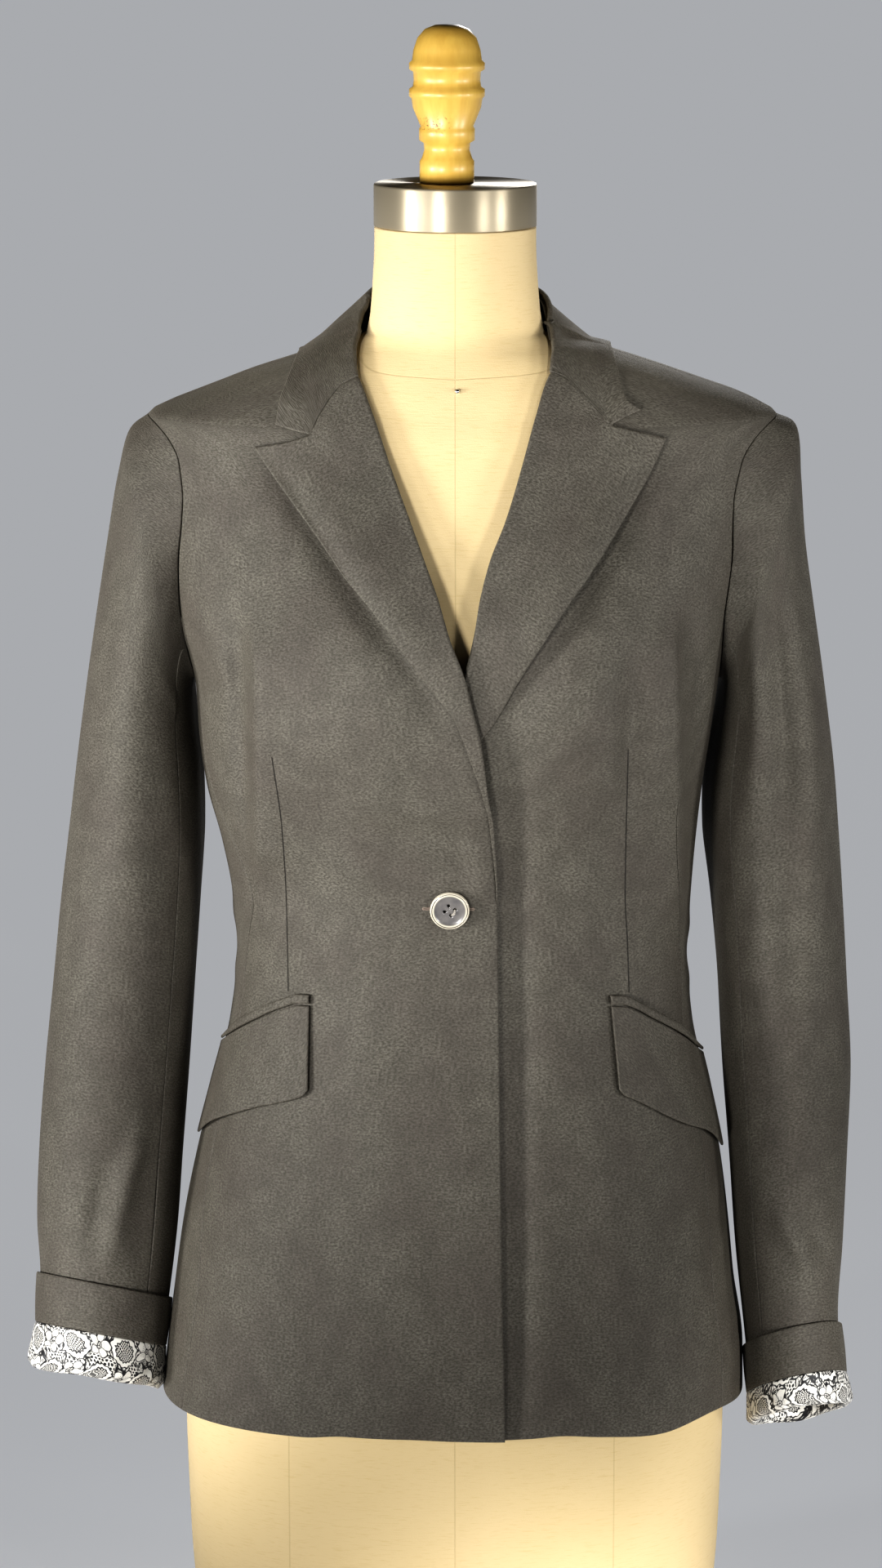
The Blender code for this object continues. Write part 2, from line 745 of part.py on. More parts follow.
def end_path(table, name):
    """The gorge seam from the roll line to the notch, and on along a free edge."""
    path = [np.stack([column(t, f"{name}_x"), column(t, f"{name}_z")], -1) for t in (GORGE, table)]
    return np.concatenate(path)


def path_shares(path):
    lengths = np.linalg.norm(np.diff(path, axis=0), axis=-1)
    return np.concatenate([[0], np.cumsum(lengths)]) / lengths.sum()


def beyond_ring(points):
    """Under 0 inside the garment's rings, 0 on them and over 0 outside."""
    x, y, z = (points[..., axis] for axis in range(3))
    width, depth = half_sizes(TORSO, x < 0, y < 0, z)
    power = read(TORSO, "square", z)
    return (np.abs(x) / width) ** power + (np.abs(y) / depth) ** power - 1


def height_over(points):
    """About how far points lie outside the garment's rings, and the way out."""
    steps = 0.5 * np.eye(3)
    slope = np.stack([beyond_ring(points + s) - beyond_ring(points - s) for s in steps], -1)
    steep = np.linalg.norm(slope, axis=-1)
    return beyond_ring(points) / steep, slope / steep[..., None]


def lifted_clear(points, least):
    """The points, pushed out wherever they lie closer to the body than they should."""
    for _ in range(3):
        height, way = height_over(points)
        points = points + np.clip(least - height, 0, None)[..., None] * way
    return points


def on_front(x, z, out):
    return face(angle_at_x(x, z), z, out)


def lapel_out(x, z, share, up, name):
    """How far the lapel's face stands off the rings: layers below it, and its soft roll."""
    lying = CLOTH + LAYER_GAP + (overlap_rise(x, z) if name == "right" else 0.0)
    lift = LAPEL_LIFT[name] * np.sin(math.pi * smooth(*LAPEL_LIFT_UP, up)) * share**1.3
    return lying + lift + LAPEL_REST * smooth(0.3, 0.9, up)


def lapel(name):
    """Straight across from the roll line to the outer edge, bent to the gorge at its top."""
    rows = np.linspace(0, 1, 15)
    top = end_path(PEAK_TOP, name)
    share = path_shares(top)
    roll_z = BREAK_Z + rows * (top[0, 1] - BREAK_Z)
    roll = np.stack([read(FRONT_EDGE, name, roll_z), roll_z], -1)
    edge = np.stack([read(LAPEL_EDGE, f"{name}_{axis}", rows) for axis in "xz"], -1)
    straight = roll[:, None] + share[None, :, None] * (edge - roll)[:, None]
    bend = top - (top[0] + share[:, None] * (top[-1] - top[0]))
    flat = straight + (rows**4)[:, None, None] * bend[None]
    x, z = flat[..., 0], flat[..., 1]
    out = lapel_out(x, z, share[None, :], rows[:, None], name)
    points = trimmed(on_front(x, z, out), ["top"], SEAM_GAP)
    cloth(f"lapel_{name}", points, flip=name == "right")


def collar_half(name):
    """The fall's grid from the centre back to the gorge: rows along, columns outwards."""
    side = SIDES[name]
    end = end_path(COLLAR_END, name)
    share = path_shares(end)
    out = lapel_out(end[:, 0], end[:, 1], share, 1.0, name)
    end_points = on_front(end[:, 0], end[:, 1], out)
    along = np.concatenate([np.linspace(0, 0.9, 13), [0.95, 1.0]])
    fold, edge = (
        np.stack([read(COLLAR, f"{line}_{axis}", along) for axis in "xyz"], -1)
        for line in ("fold", "edge")
    )
    for line, last in ((fold, end_points[0]), (edge, end_points[-1])):
        line[:, 0] = side * line[:, 0] + COLLAR_SHIFT * along
        line[-1] = last
        line[-2] = (line[-3] + line[-1]) / 2
    straight = fold[:, None] + share[None, :, None] * (edge - fold)[:, None]
    bend = end_points - (end_points[0] + share[:, None] * (end_points[-1] - end_points[0]))
    points = straight + (smooth(0.72, 1.0, along) ** 2)[:, None, None] * bend[None]
    crown = COLLAR_CROWN * np.sin(math.pi * share)[None, :] * (1 - smooth(0.6, 0.95, along))[:, None]
    points[..., 2] += crown
    points = lifted_clear(points, CLOTH + 2 * LAYER_GAP)
    curl = points[:, :1] - unit(edge - fold)[:, None] * 0.6
    curl[..., 2] -= 1.8
    return np.concatenate([curl, points], axis=1)


def collar():
    right, left = collar_half("right"), collar_half("left")
    points = np.concatenate([right[::-1], left[1:]])
    cloth("collar", trimmed(points, ["bottom", "top"], SEAM_GAP), thickness=1.6)


def collar_stand():
    """A band that stands on the neckline and reaches up under the collar's fold."""
    along = np.linspace(0, STAND_END, 12)
    halves = []
    for name, side in SIDES.items():
        fold = np.stack([read(COLLAR, f"fold_{axis}", along) for axis in "xyz"], -1)
        fold[:, 0] = side * fold[:, 0] + COLLAR_SHIFT * along
        fold[:, 2] -= STAND_BELOW_FOLD
        front_end = angle_at_x(read(FRONT_EDGE, name, NECK_Z), np.array(NECK_Z))
        turn = side * math.pi + (front_end - side * math.pi) * along / STAND_END
        foot = skin(turn, NECK_Z)
        foot[:, 2] += 2 * LAYER_GAP
        rise = np.linspace(0, 1, 3)
        halves.append(foot[:, None] + rise[None, :, None] * (fold - foot)[:, None])
    right, left = halves
    cloth("collar_stand", np.concatenate([right[::-1], left[1:]]), thickness=1.4)


# ------------------------------------------------------------------ sleeves and cuffs


def ring_points(row, side, outside=0.0, turns=ROUND):
    """One ring of a sleeve: its nearest and furthest points, its depth and its lean."""
    in_x, in_z, out_x, out_z, y, depth, lean = row
    near = np.array([side * in_x, y, in_z])
    far = np.array([side * out_x, y, out_z])
    half = (far - near) / 2
    half = half * (1 + outside / np.linalg.norm(half))
    lean = math.radians(lean)
    front = (depth + outside) * np.array([0, -math.cos(lean), math.sin(lean)])
    return (near + far) / 2 + np.cos(turns)[:, None] * half + np.sin(turns)[:, None] * front


def cuff_ring(name, down, outside):
    """A ring of the turned-up cuff: 0 is its top edge, 1 the lining's seam, 2 the fold."""
    rows = np.array(CUFFS[name][1:], float)
    at = int(min(down, 1.999))
    row = rows[at] + (down - at) * (rows[at + 1] - rows[at])
    return ring_points(row, SIDES[name], outside)


def armhole_ring(name):
    """The sleeve's edge, on the armhole seam of the garment's face."""
    return face(armhole_angle(ROUND, SIDES[name]), armhole_z(ROUND))


def folded(ring, side):
    """A ring of the sleeve with its long soft ridges standing out of it."""
    middle = ring.mean(axis=0)
    out = np.zeros(len(ring))
    for fold_side, turn, z_high, z_low, height, reach in SLEEVE_FOLDS[1:]:
        if fold_side != side:
            continue
        along = smooth(z_low - FOLD_FADE, z_low, middle[2])
        along = along * (1 - smooth(z_high, z_high + FOLD_FADE, middle[2]))
        across = (np.degrees(ROUND) - turn) / reach
        out += height * along * np.exp(-(across**2))
    return ring + out[:, None] * unit(ring - middle)


def sleeve_rings(name):
    side = SIDES[name]
    rings = [armhole_ring(name)]
    rings += [folded(ring_points(row, side), side) for row in SLEEVES[name][1:]]
    rings += [cuff_ring(name, down, outside) for down, outside in SLEEVE_END_ROWS]
    return np.array(rings)


def sleeve(name):
    rings = trimmed(sleeve_rings(name), ["bottom"])
    over = np.arange(SEAM_BACK - len(ROUND), SEAM_FRONT + 1)
    under = np.arange(SEAM_FRONT, SEAM_BACK + 1)
    for part, places in (("upper", over), ("under", under)):
        points = trimmed(rings[:, places], ["first", "last"], 0.35)
        cloth(f"{part}_sleeve_{name}", points, SLEEVE_CLOTH, flip=name == "right")


def cuff(name):
    band = np.array([cuff_ring(name, down, out) for down, out in BAND_ROWS])
    lining = np.array([cuff_ring(name, down, out) for down, out in LINING_ROWS])
    middle = lining.mean(axis=1, keepdims=True)
    loose = np.array(LINING_LOOSE)[:, None, None]
    for waves, height, turn in LINING_WAVES:
        wave = height * np.sin(waves * ROUND + turn)[None, :, None]
        lining = lining + loose * wave * unit(lining - middle)
    flip = name == "right"
    cloth(f"cuff_band_{name}", trimmed(band, ["top"]), SLEEVE_CLOTH, around=True, flip=flip)
    lining = trimmed(lining, ["bottom"])
    cloth(f"cuff_lining_{name}", lining, LINING_CLOTH, "lining", around=True, flip=flip)


# ------------------------------------------------------------------ pockets and button


def pocket_strip(name, along, z_rows, out_rows):
    """A strip laid over the pocket, from its front end round to the side."""
    front_top, front_bottom = POCKET_FRONT_X[name]
    side = SIDES[name]
    z = np.array(z_rows)
    share_down = (POCKET_TOP_Z - z[:, :1]) / POCKET_DEPTH
    start = angle_at_x(front_top + share_down * (front_bottom - front_top), z[:, :1])
    angles = start + (side * POCKET_END - start) * along[None, :]
    if name == "right":
        angles, z, out_rows = angles[:, ::-1], z[:, ::-1], out_rows[:, ::-1]
    return face(angles, z, out_rows)


def pocket(name):
    along = np.array([0, 0.03, 0.09, 0.17, 0.30, 0.44, 0.58, 0.72, 0.86, 1.0])
    top = read(POCKET, f"{name}_top", along)
    bottom = read(POCKET, f"{name}_bottom", along)
    bottom = bottom + 4.0 * np.clip(1 - along / 0.03, 0, 1)
    flat = np.zeros(len(along))
    welt_z = [top + 0.3, top + WELT_HEIGHT / 2, top + WELT_HEIGHT]
    welt_out = np.array([flat, flat + 0.5, flat]) + CLOTH + 2 * LAYER_GAP
    cloth(f"pocket_welt_{name}", pocket_strip(name, along, welt_z, welt_out))
    down = np.linspace(1, 0, 5)
    flap_z = [top - 0.3 + d * (bottom - top) for d in down]
    stand = FLAP_STAND * (0.35 + 0.65 * smooth(0.2, 1.0, along))
    flap_out = np.array([stand * smooth(0, 0.9, d) for d in down]) + CLOTH + 2 * LAYER_GAP
    cloth(f"pocket_flap_{name}", pocket_strip(name, along, flap_z, flap_out))


def button():
    """A four-hole button with a raised rim, lying on the right front."""
    x, z = BUTTON_PLACE
    angle = float(angle_at_x(np.array(x), z))
    rise = float(overlap_rise(x, z))
    place = face(angle, np.array(z), rise + 0.6)
    normal = outward(np.array(angle), np.array(z))
    rim, inside = BUTTON_RADIUS, BUTTON_RADIUS - BUTTON_RIM
    profile = (
        (0, BUTTON_HEIGHT - BUTTON_WELL),
        (inside, BUTTON_HEIGHT - BUTTON_WELL),
        (inside + 1.0, BUTTON_HEIGHT),
        (rim - 0.8, BUTTON_HEIGHT - 0.2),
        (rim, BUTTON_HEIGHT - 1.2),
        (rim - 0.4, 0.8),
        (rim - 2.0, 0.0),
        (0, 0.0),
    )
    made = turned("button", profile, 0, 0, 20, "horn")
    made.location = place * MM
    made.rotation_euler = (math.pi / 2 + math.asin(-normal[2]), 0, 0)
    for i in range(4):
        turn = math.radians(45 + 90 * i)
        x, y = HOLE_FROM_MIDDLE * math.cos(turn), HOLE_FROM_MIDDLE * math.sin(turn)
        add_hole(made, x, y, i)


def add_hole(target, x, y, number):
    """Cuts one round hole through a turned solid, along its own axis."""
    bm = bmesh.new()
    radius, depth = HOLE_RADIUS * MM, 4 * BUTTON_HEIGHT * MM
    bmesh.ops.create_cone(
        bm, cap_ends=True, segments=6, radius1=radius, radius2=radius, depth=depth
    )
    cutter = add_object(f"hole_cutter_{number}", bm, "horn")
    cutter.parent = target
    cutter.location = (x * MM, y * MM, BUTTON_HEIGHT / 2 * MM)
    cutter.hide_render = True
    cutter.display_type = "WIRE"
    cut = target.modifiers.new(f"hole_{number}", "BOOLEAN")
    cut.object = cutter
    cut.operation = "DIFFERENCE"


# ------------------------------------------------------------------ the dress form


def level_rings(table, angles, levels):
    """Level rings read from a table of ovals."""
    rings = []
    for z in levels:
        x, y = oval(table, angles, z)
        rings.append(np.stack([x, y, np.full(len(angles), float(z))], -1))
    return rings


def form_body():
    """Padded torso and neck in one, smooth, inside the garment and on below its hem."""
    angles = np.linspace(-math.pi, math.pi, FORM_SIDES, endpoint=False)
    inner = [
        face(angles, float(z), -np.full(len(angles), read(FORM_INSET, "inset", z)))
        for z in FORM_INNER_ROWS
    ]
    low = level_rings(FORM_LOW, angles, FORM_LOW_ROWS)
    neck = level_rings(FORM_NECK, angles, FORM_NECK_ROWS)
    lofted("form_body", np.array(low + inner + neck), "cotton")


def form_cap():
    profile = (
        (0, CAP_TOP_Z),
        (CAP_RADIUS - CAP_BEVEL, CAP_TOP_Z),
        (CAP_RADIUS, CAP_TOP_Z - CAP_BEVEL),
        (CAP_RADIUS, CAP_LOW_Z),
        (0, CAP_LOW_Z),
    )
    turned("form_cap", profile, 0, NECK_MIDDLE_Y, 40, "steel")


def form_finial():
    profile = list(zip(column(FINIAL, "r"), column(FINIAL, "z"))) + [(0, FINIAL[-1][1])]
    turned("form_finial", profile, FINIAL_X, NECK_MIDDLE_Y, FINIAL_SIDES, "wood")


def form_base():
    """A plain board under the form, with its edges eased."""
    angles = np.linspace(-math.pi, math.pi, 36, endpoint=False)
    power = 2 / BASE_SQUARE
    rings = []
    for z, inset in (
        (0, BASE_BEVEL),
        (BASE_BEVEL, 0),
        (BASE_HEIGHT - BASE_BEVEL, 0),
        (BASE_HEIGHT, BASE_BEVEL),
    ):
        depth = np.where(np.cos(angles) > 0, BASE_FRONT, BASE_BACK) - inset
        x = (BASE_HALF_WIDTH - inset) * signed_power(np.sin(angles), power)
        y = -depth * signed_power(np.cos(angles), power)
        rings.append(np.stack([x, y, np.full(len(angles), float(z))], -1))
    lofted("form_base", np.array(rings), "wood")


def main():
    clear_scene()
    for name in SIDES:
        front_panel(name)
        side_panel(name)
        back_panel(name)
        lapel(name)
        sleeve(name)
        cuff(name)
        pocket(name)
    collar()
    collar_stand()
    button()
    form_body()
    form_cap()
    form_finial()
    form_base()


main()
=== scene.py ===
# %% [markdown]
# # A fitted blazer on a limbless dress form
#
# A one-button blazer with peak lapels, two flap pockets and turned-up cuffs, worn on a small
# padded dress form. Every piece that a tailor cuts is a piece of its own here: two fronts, two
# side panels, two backs, lapels, collar, two-part sleeves, cuffs, welts and flaps.
# The lesson's idea is that the garment's outer face is one smooth surface, a stack of level
# rings. Each panel is a stretch of that surface between two seams, and whatever lies on a panel
# is the same surface moved outwards, so nothing needs to be fitted to anything else.

# %% The frame that the looks are built around
import functools
import math

import bpy
import numpy as np
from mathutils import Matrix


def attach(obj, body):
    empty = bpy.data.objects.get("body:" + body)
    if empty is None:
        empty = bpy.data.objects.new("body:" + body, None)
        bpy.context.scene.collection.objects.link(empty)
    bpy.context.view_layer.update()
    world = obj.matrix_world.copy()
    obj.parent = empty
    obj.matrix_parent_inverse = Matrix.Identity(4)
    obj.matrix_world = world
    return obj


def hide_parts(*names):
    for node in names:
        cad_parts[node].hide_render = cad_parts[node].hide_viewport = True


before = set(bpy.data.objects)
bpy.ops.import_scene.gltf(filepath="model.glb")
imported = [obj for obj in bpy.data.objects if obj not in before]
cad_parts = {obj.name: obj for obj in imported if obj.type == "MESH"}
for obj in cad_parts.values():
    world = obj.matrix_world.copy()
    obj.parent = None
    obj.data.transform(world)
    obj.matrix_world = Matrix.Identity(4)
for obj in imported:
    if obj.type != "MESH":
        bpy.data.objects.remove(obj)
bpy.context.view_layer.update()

scene = bpy.context.scene

# %% [markdown]
# ## The camera
# The picture was taken from a little above the shoulders and slightly downwards with a long
# lens, which keeps the sides nearly parallel. Three numbers hold that: the distance, the height
# and the tilt. A long lens could also be faked with an orthographic camera, but then the cap's
# top and the hem would lose their slight curves.

# %% Camera at the photograph's angle
CAMERA_PLACE = (-0.0082, -3.0, 1.150)
CAMERA_TILT = 11.5        # degrees below the horizon
CAMERA_LENS = 119.6       # for a 36 mm sensor along the picture's long side

camera = bpy.data.objects.new("camera", bpy.data.cameras.new("camera"))
camera.data.lens = CAMERA_LENS
camera.data.sensor_width = 36.0
camera.location = CAMERA_PLACE
camera.rotation_euler = (math.radians(90 - CAMERA_TILT), 0, 0)
scene.collection.objects.link(camera)
scene.camera = camera
print("camera looks", CAMERA_TILT, "degrees down from", CAMERA_PLACE)

# %% [markdown]
# ## Light and floor
# The steel cap tells how the garment was lit: it mirrors two broad upright sources, one about
# 45 degrees to the left of the lens and one about 50 to the right, at the height of the chest.
# Five soft round lamps stand in for them, with a sixth behind. Each lamp's cone fades towards
# the hem, as the photograph does. Five small lamps with narrow cones reach what the broad ones
# leave too dark: the collar's ends, both cuffs and the form's low part. The sky is nearly black
# and the view is a contrasty one, which keeps the gaps between the sleeves and the body dark. A
# single lamp would give hard shadows, and an even sky would hide the folds.

# %% Lamps and sky, and the size and glow of a plain pale floor
LAMPS = (
    # name, place, watts, cone in degrees, the place it faces
    ("left_front", (-1.1, -2.6, 0.5), 205.0, 28.0, (0.0, 0.0, 0.70)),
    ("left_middle", (-1.9, -1.75, 0.7), 60.0, 28.0, (-0.08, 0.0, 0.70)),
    ("left_side", (-2.4, -1.1, 0.55), 265.0, 28.0, (-0.1, 0.0, 0.55)),
    ("right_middle", (1.7, -2.0, 0.6), 90.0, 28.0, (0.08, 0.0, 0.66)),
    ("right_side", (2.4, -1.0, 0.6), 105.0, 28.0, (0.1, 0.0, 0.62)),
    ("rear", (0.4, 2.6, 1.5), 60.0, 28.0, (0.0, 0.0, 0.60)),
    ("collar_left", (-0.9, -2.2, 1.7), 180.0, 3.6, (-0.095, 0.0, 0.785)),
    ("collar_right", (0.9, -2.2, 1.7), 180.0, 3.6, (0.095, 0.0, 0.785)),
    ("low_front", (1.2, -2.3, 0.10), 300.0, 9.5, (0.03, 0.0, -0.02)),
    ("low_left", (-1.5, -2.1, 0.25), 170.0, 7.5, (-0.225, -0.02, 0.20)),
    ("low_right", (1.5, -2.1, 0.20), 190.0, 6.5, (0.225, -0.03, 0.195)),
)
LAMP_RADIUS, SMALL_LAMP_RADIUS = 0.28, 0.06    # metres
NARROW_CONE = 10.0                             # degrees: the cone of a small lamp is narrower
SKY_STRENGTH = 0.01
FLOOR_HALF, FLOOR_GLOW = 40.0, 0.42


def linear(hex_colour):
    """An sRGB hex colour as linear RGBA, which is what Blender's sockets take."""
    parts = [int(hex_colour[i : i + 2], 16) / 255 for i in (0, 2, 4)]
    return [c / 12.92 if c <= 0.04045 else ((c + 0.055) / 1.055) ** 2.4 for c in parts] + [1.0]


def add_lamp(name, place, watts, cone, aim):
    """A soft round lamp that faces a place, with a cone that fades from its middle outwards."""
    lamp = bpy.data.objects.new(name, bpy.data.lights.new(name, "SPOT"))
    lamp.data.energy = watts
    lamp.data.shadow_soft_size = LAMP_RADIUS if cone > NARROW_CONE else SMALL_LAMP_RADIUS
    lamp.data.spot_size, lamp.data.spot_blend = math.radians(cone), 1.0
    lamp.location = place
    way = np.array(aim) - np.array(place)
    flat = math.hypot(way[0], way[1])
    lamp.rotation_euler = (math.atan2(flat, -way[2]), 0, math.atan2(way[1], way[0]) - math.pi / 2)
    scene.collection.objects.link(lamp)


for lamp_row in LAMPS:
    add_lamp(*lamp_row)
print(len(LAMPS), "lamps")

scene.view_settings.view_transform = "Standard"
scene.view_settings.look = "High Contrast"
world = bpy.data.worlds.new("studio")
world.use_nodes = True
world.node_tree.nodes["Background"].inputs["Color"].default_value = linear("F2F4F7")
world.node_tree.nodes["Background"].inputs["Strength"].default_value = SKY_STRENGTH
scene.world = world


# %% [markdown]
# ## Helpers for meshes and materials
# Cloth here is a closed shell: an outer face worked out as a grid of points, an inner face one
# cloth's thickness behind it, and edges that round away, the way a pressed seam or a turned edge
# does. Blender's Solidify modifier could give the thickness, but it leaves square edges, and the
# fine dark line between two panels comes from edges that roll under.

# %% Small numpy tools
MM = 0.001


def column(table, name):
    """One column of a table, whose first row names the columns."""
    return np.array([row[table[0].index(name)] for row in table[1:]], float)


def knot_slopes(steps, slopes):
    """Slopes at a table's knots that never let the curve overshoot its rows (a monotone cubic)."""
    inner = np.zeros(len(slopes) - 1)
    rising = slopes[:-1] * slopes[1:] > 0
    before, after = 2 * steps[1:] + steps[:-1], steps[1:] + 2 * steps[:-1]
    inner[rising] = (before + after)[rising] / (
        before[rising] / slopes[:-1][rising] + after[rising] / slopes[1:][rising]
    )
    return np.concatenate([slopes[:1], inner, slopes[-1:]])


def cubic(t, step, values, slopes):
    """From one value to the next with the slopes given: t runs from 0 to 1 over the step."""
    start = (1 + 2 * t) * (1 - t) ** 2 * values[0] + t * (1 - t) ** 2 * step * slopes[0]
    end = t**2 * (3 - 2 * t) * values[1] + t**2 * (t - 1) * step * slopes[1]
    return start + end


def read(table, name, at):
    """A column read at any place along the table's first column: cubic pieces between rows."""
    knots, values = column(table, table[0][0]), column(table, name)
    at = np.clip(np.asarray(at, float), knots[0], knots[-1])
    steps = np.diff(knots)
    slopes = knot_slopes(steps, np.diff(values) / steps)
    piece = np.clip(np.searchsorted(knots, at) - 1, 0, len(steps) - 1)
    t, both = (at - knots[piece]) / steps[piece], np.stack([piece, piece + 1])
    return cubic(t, steps[piece], values[both], slopes[both])


def through(values, places, at):
    """Stacked rows read at new places: a smooth curve through every row, point by point."""
    slopes = np.gradient(values, places, axis=0)
    piece = np.clip(np.searchsorted(places, at, side="right") - 1, 0, len(places) - 2)
    step = (places[piece + 1] - places[piece])[:, None, None]
    t, both = (at - places[piece])[:, None, None] / step, np.stack([piece, piece + 1])
    return cubic(t, step, values[both], slopes[both])


def smooth(start, end, value):
    """0 before start and 1 after end, with a soft rise between them (3t^2 - 2t^3)."""
    t = np.clip((value - start) / (end - start), 0, 1)
    return t * t * (3 - 2 * t)


def signed_power(value, power):
    """|value|^power, with the value's own sign."""
    return np.sign(value) * np.abs(value) ** power


def unit(vectors):
    """Each vector divided by its own length."""
    return vectors / np.maximum(np.linalg.norm(vectors, axis=-1, keepdims=True), 1e-9)


def run(points, axis):
    """How far each point lies along its row (axis 1) or its column (axis 0) of the grid."""
    steps = np.linalg.norm(np.diff(points, axis=axis), axis=-1)
    start = np.zeros_like(points[:, :1, 0] if axis else points[:1, :, 0])
    return np.concatenate([start, np.cumsum(steps, axis=axis)], axis=axis)


def ripple(u, v, seed, size):
    """A gentle unevenness from -1 to 1: eight crossed sine waves about `size` mm long."""
    rng = np.random.default_rng(seed)
    total = np.zeros(np.broadcast(u, v).shape)
    for _ in range(8):
        way, phase = rng.uniform(0, 2 * math.pi, 2)
        length = size * rng.uniform(0.6, 1.6)
        along = u * math.cos(way) + v * math.sin(way)
        total = total + np.sin(along * 2 * math.pi / length + phase)
    return total / 4


# %% From a grid of points to a closed shell of cloth
RIM_SHARE = 0.46    # how much of the thickness each face rounds away at an edge
FAR = 20.0          # a distance in millimetres at which no drawn line shows


def face_normals(grid, around):
    """Across the columns crossed with up the rows, which points out of the cloth's face."""
    wide = np.concatenate([grid[:, -1:], grid, grid[:, :1]], 1) if around else grid
    across, upwards = np.gradient(wide, axis=1), np.gradient(wide, axis=0)
    normals = unit(np.cross(across, upwards))
    return normals[:, 1:-1] if around else normals


def edge_drop(grid, edges, thickness):
    """How deep the face sinks near its edges: a quarter circle of the radius given for each."""
    rows, columns = run(grid, 0), run(grid, 1)
    away = {"first": columns, "last": columns[:, -1:] - columns,
            "bottom": rows, "top": rows[-1:] - rows}
    drop = np.zeros(grid.shape[:2])
    for side, radius in edges.items():
        t = np.clip(1 - away[side] / radius, 0, 1)
        drop = np.maximum(drop, RIM_SHARE * thickness * (1 - np.sqrt(1 - t * t)))
    return drop


def quads(ids):
    """The four corners of every cell of a grid of numbers."""
    corners = ids[:-1, :-1], ids[:-1, 1:], ids[1:, 1:], ids[1:, :-1]
    return np.stack([c.ravel() for c in corners], -1)


def strip(near, far):
    """Quads between two rows of numbers."""
    return np.stack([near[1:], near[:-1], far[:-1], far[1:]], -1)


def add_piece(name, mesh, finish, facts):
    """The mesh as a piece that rides on the one body there is, with facts about its points."""
    for fact, values in (facts or {}).items():
        kept = mesh.attributes.new(fact, "FLOAT_VECTOR", "POINT")
        kept.data.foreach_set("vector", values.astype(np.float32).ravel())
    mesh.shade_smooth()
    mesh.materials.append(finish)
    piece = bpy.data.objects.new(name, mesh)
    scene.collection.objects.link(piece)
    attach(piece, "root")
    return piece


def add_mesh(name, points, faces, finish, uv=None, facts=None):
    """A piece from points in millimetres and quads."""
    mesh = bpy.data.meshes.new(name)
    mesh.vertices.add(len(points))
    mesh.vertices.foreach_set("co", (points * MM).astype(np.float32).ravel())
    mesh.loops.add(faces.size)
    mesh.loops.foreach_set("vertex_index", faces.astype(np.int32).ravel())
    mesh.polygons.add(len(faces))
    mesh.polygons.foreach_set("loop_start", np.arange(0, faces.size, 4, dtype=np.int32))
    if uv is not None:
        layer = mesh.uv_layers.new(name="cut")
        layer.uv.foreach_set("vector", (uv * MM).astype(np.float32).ravel())
    mesh.update(calc_edges=True)
    mesh.validate()
    return add_piece(name, mesh, finish, facts)


def closed_body(name, rings, ends, finish, facts):
    """A closed body through rings, bottom to top, with a fan round each of the two end points."""
    rows, columns = rings.shape[:2]
    points = np.concatenate([rings.reshape(-1, 3), ends])
    ids = np.arange(rows * columns).reshape(rows, columns)
    faces = quads(np.concatenate([ids, ids[:, :1]], 1)).tolist()
    low, high = len(points) - 2, len(points) - 1
    faces += [(int(b), int(a), low) for a, b in zip(ids[0], np.roll(ids[0], -1))]
    faces += [(int(a), int(b), high) for a, b in zip(ids[-1], np.roll(ids[-1], -1))]
    mesh = bpy.data.meshes.new(name)
    mesh.from_pydata((points * MM).tolist(), [], faces)
    return add_piece(name, mesh, finish, facts)


def capped(name, rings, finish, facts=None):
    """A closed body whose fans meet at the middles of its end rings, where no line is drawn."""
    far = np.full((2, 3), FAR)
    facts = {k: np.concatenate([v.reshape(-1, 3), far]) for k, v in (facts or {}).items()}
    return closed_body(name, rings, rings[[0, -1]].mean(1), finish, facts)


def shell(name, grid, thickness, edges, finish, around=False, facts=None):
    """Cloth whose face is the grid, with rounded edges and an inner face behind it."""
    thickness = np.broadcast_to(thickness, grid.shape[:2])
    drop, thickness = edge_drop(grid, edges, thickness)[..., None], thickness[..., None]
    normals = face_normals(grid, around)
    outer, inner = grid - drop * normals, grid - (thickness - drop) * normals
    rows, columns = grid.shape[:2]
    ids = np.arange(rows * columns).reshape(rows, columns)
    closed = np.concatenate([grid, grid[:, :1]], 1) if around else grid
    ids = np.concatenate([ids, ids[:, :1]], 1) if around else ids
    back = ids + rows * columns
    corners = [quads(ids), quads(back)[:, ::-1], strip(ids[0], back[0]),
               strip(ids[-1][::-1], back[-1][::-1])]
    across, along = run(closed, 1), run(closed, 0)
    across = across - across[:, across.shape[1] // 2][:, None]
    flat = np.stack([across, along], -1).reshape(-1, 2)
    places = np.arange(closed.shape[0] * closed.shape[1]).reshape(closed.shape[:2])
    picks = [quads(places), quads(places)[:, ::-1], strip(places[0], places[0]),
             strip(places[-1][::-1], places[-1][::-1])]
    if not around:
        corners += [strip(ids[::-1, 0], back[::-1, 0]), strip(ids[:, -1], back[:, -1])]
        picks += [strip(places[::-1, 0], places[::-1, 0]), strip(places[:, -1], places[:, -1])]
    points = np.concatenate([outer.reshape(-1, 3), inner.reshape(-1, 3)])
    uv = flat[np.concatenate(picks).ravel()]
    both = {k: np.tile(v.reshape(-1, 3), (2, 1)) for k, v in (facts or {}).items()}
    return add_mesh(name, points, np.concatenate(corners), finish, uv, both)


NARROWEST_CUT = 0.0102    # metres: a welt's strip is cut at least this wide


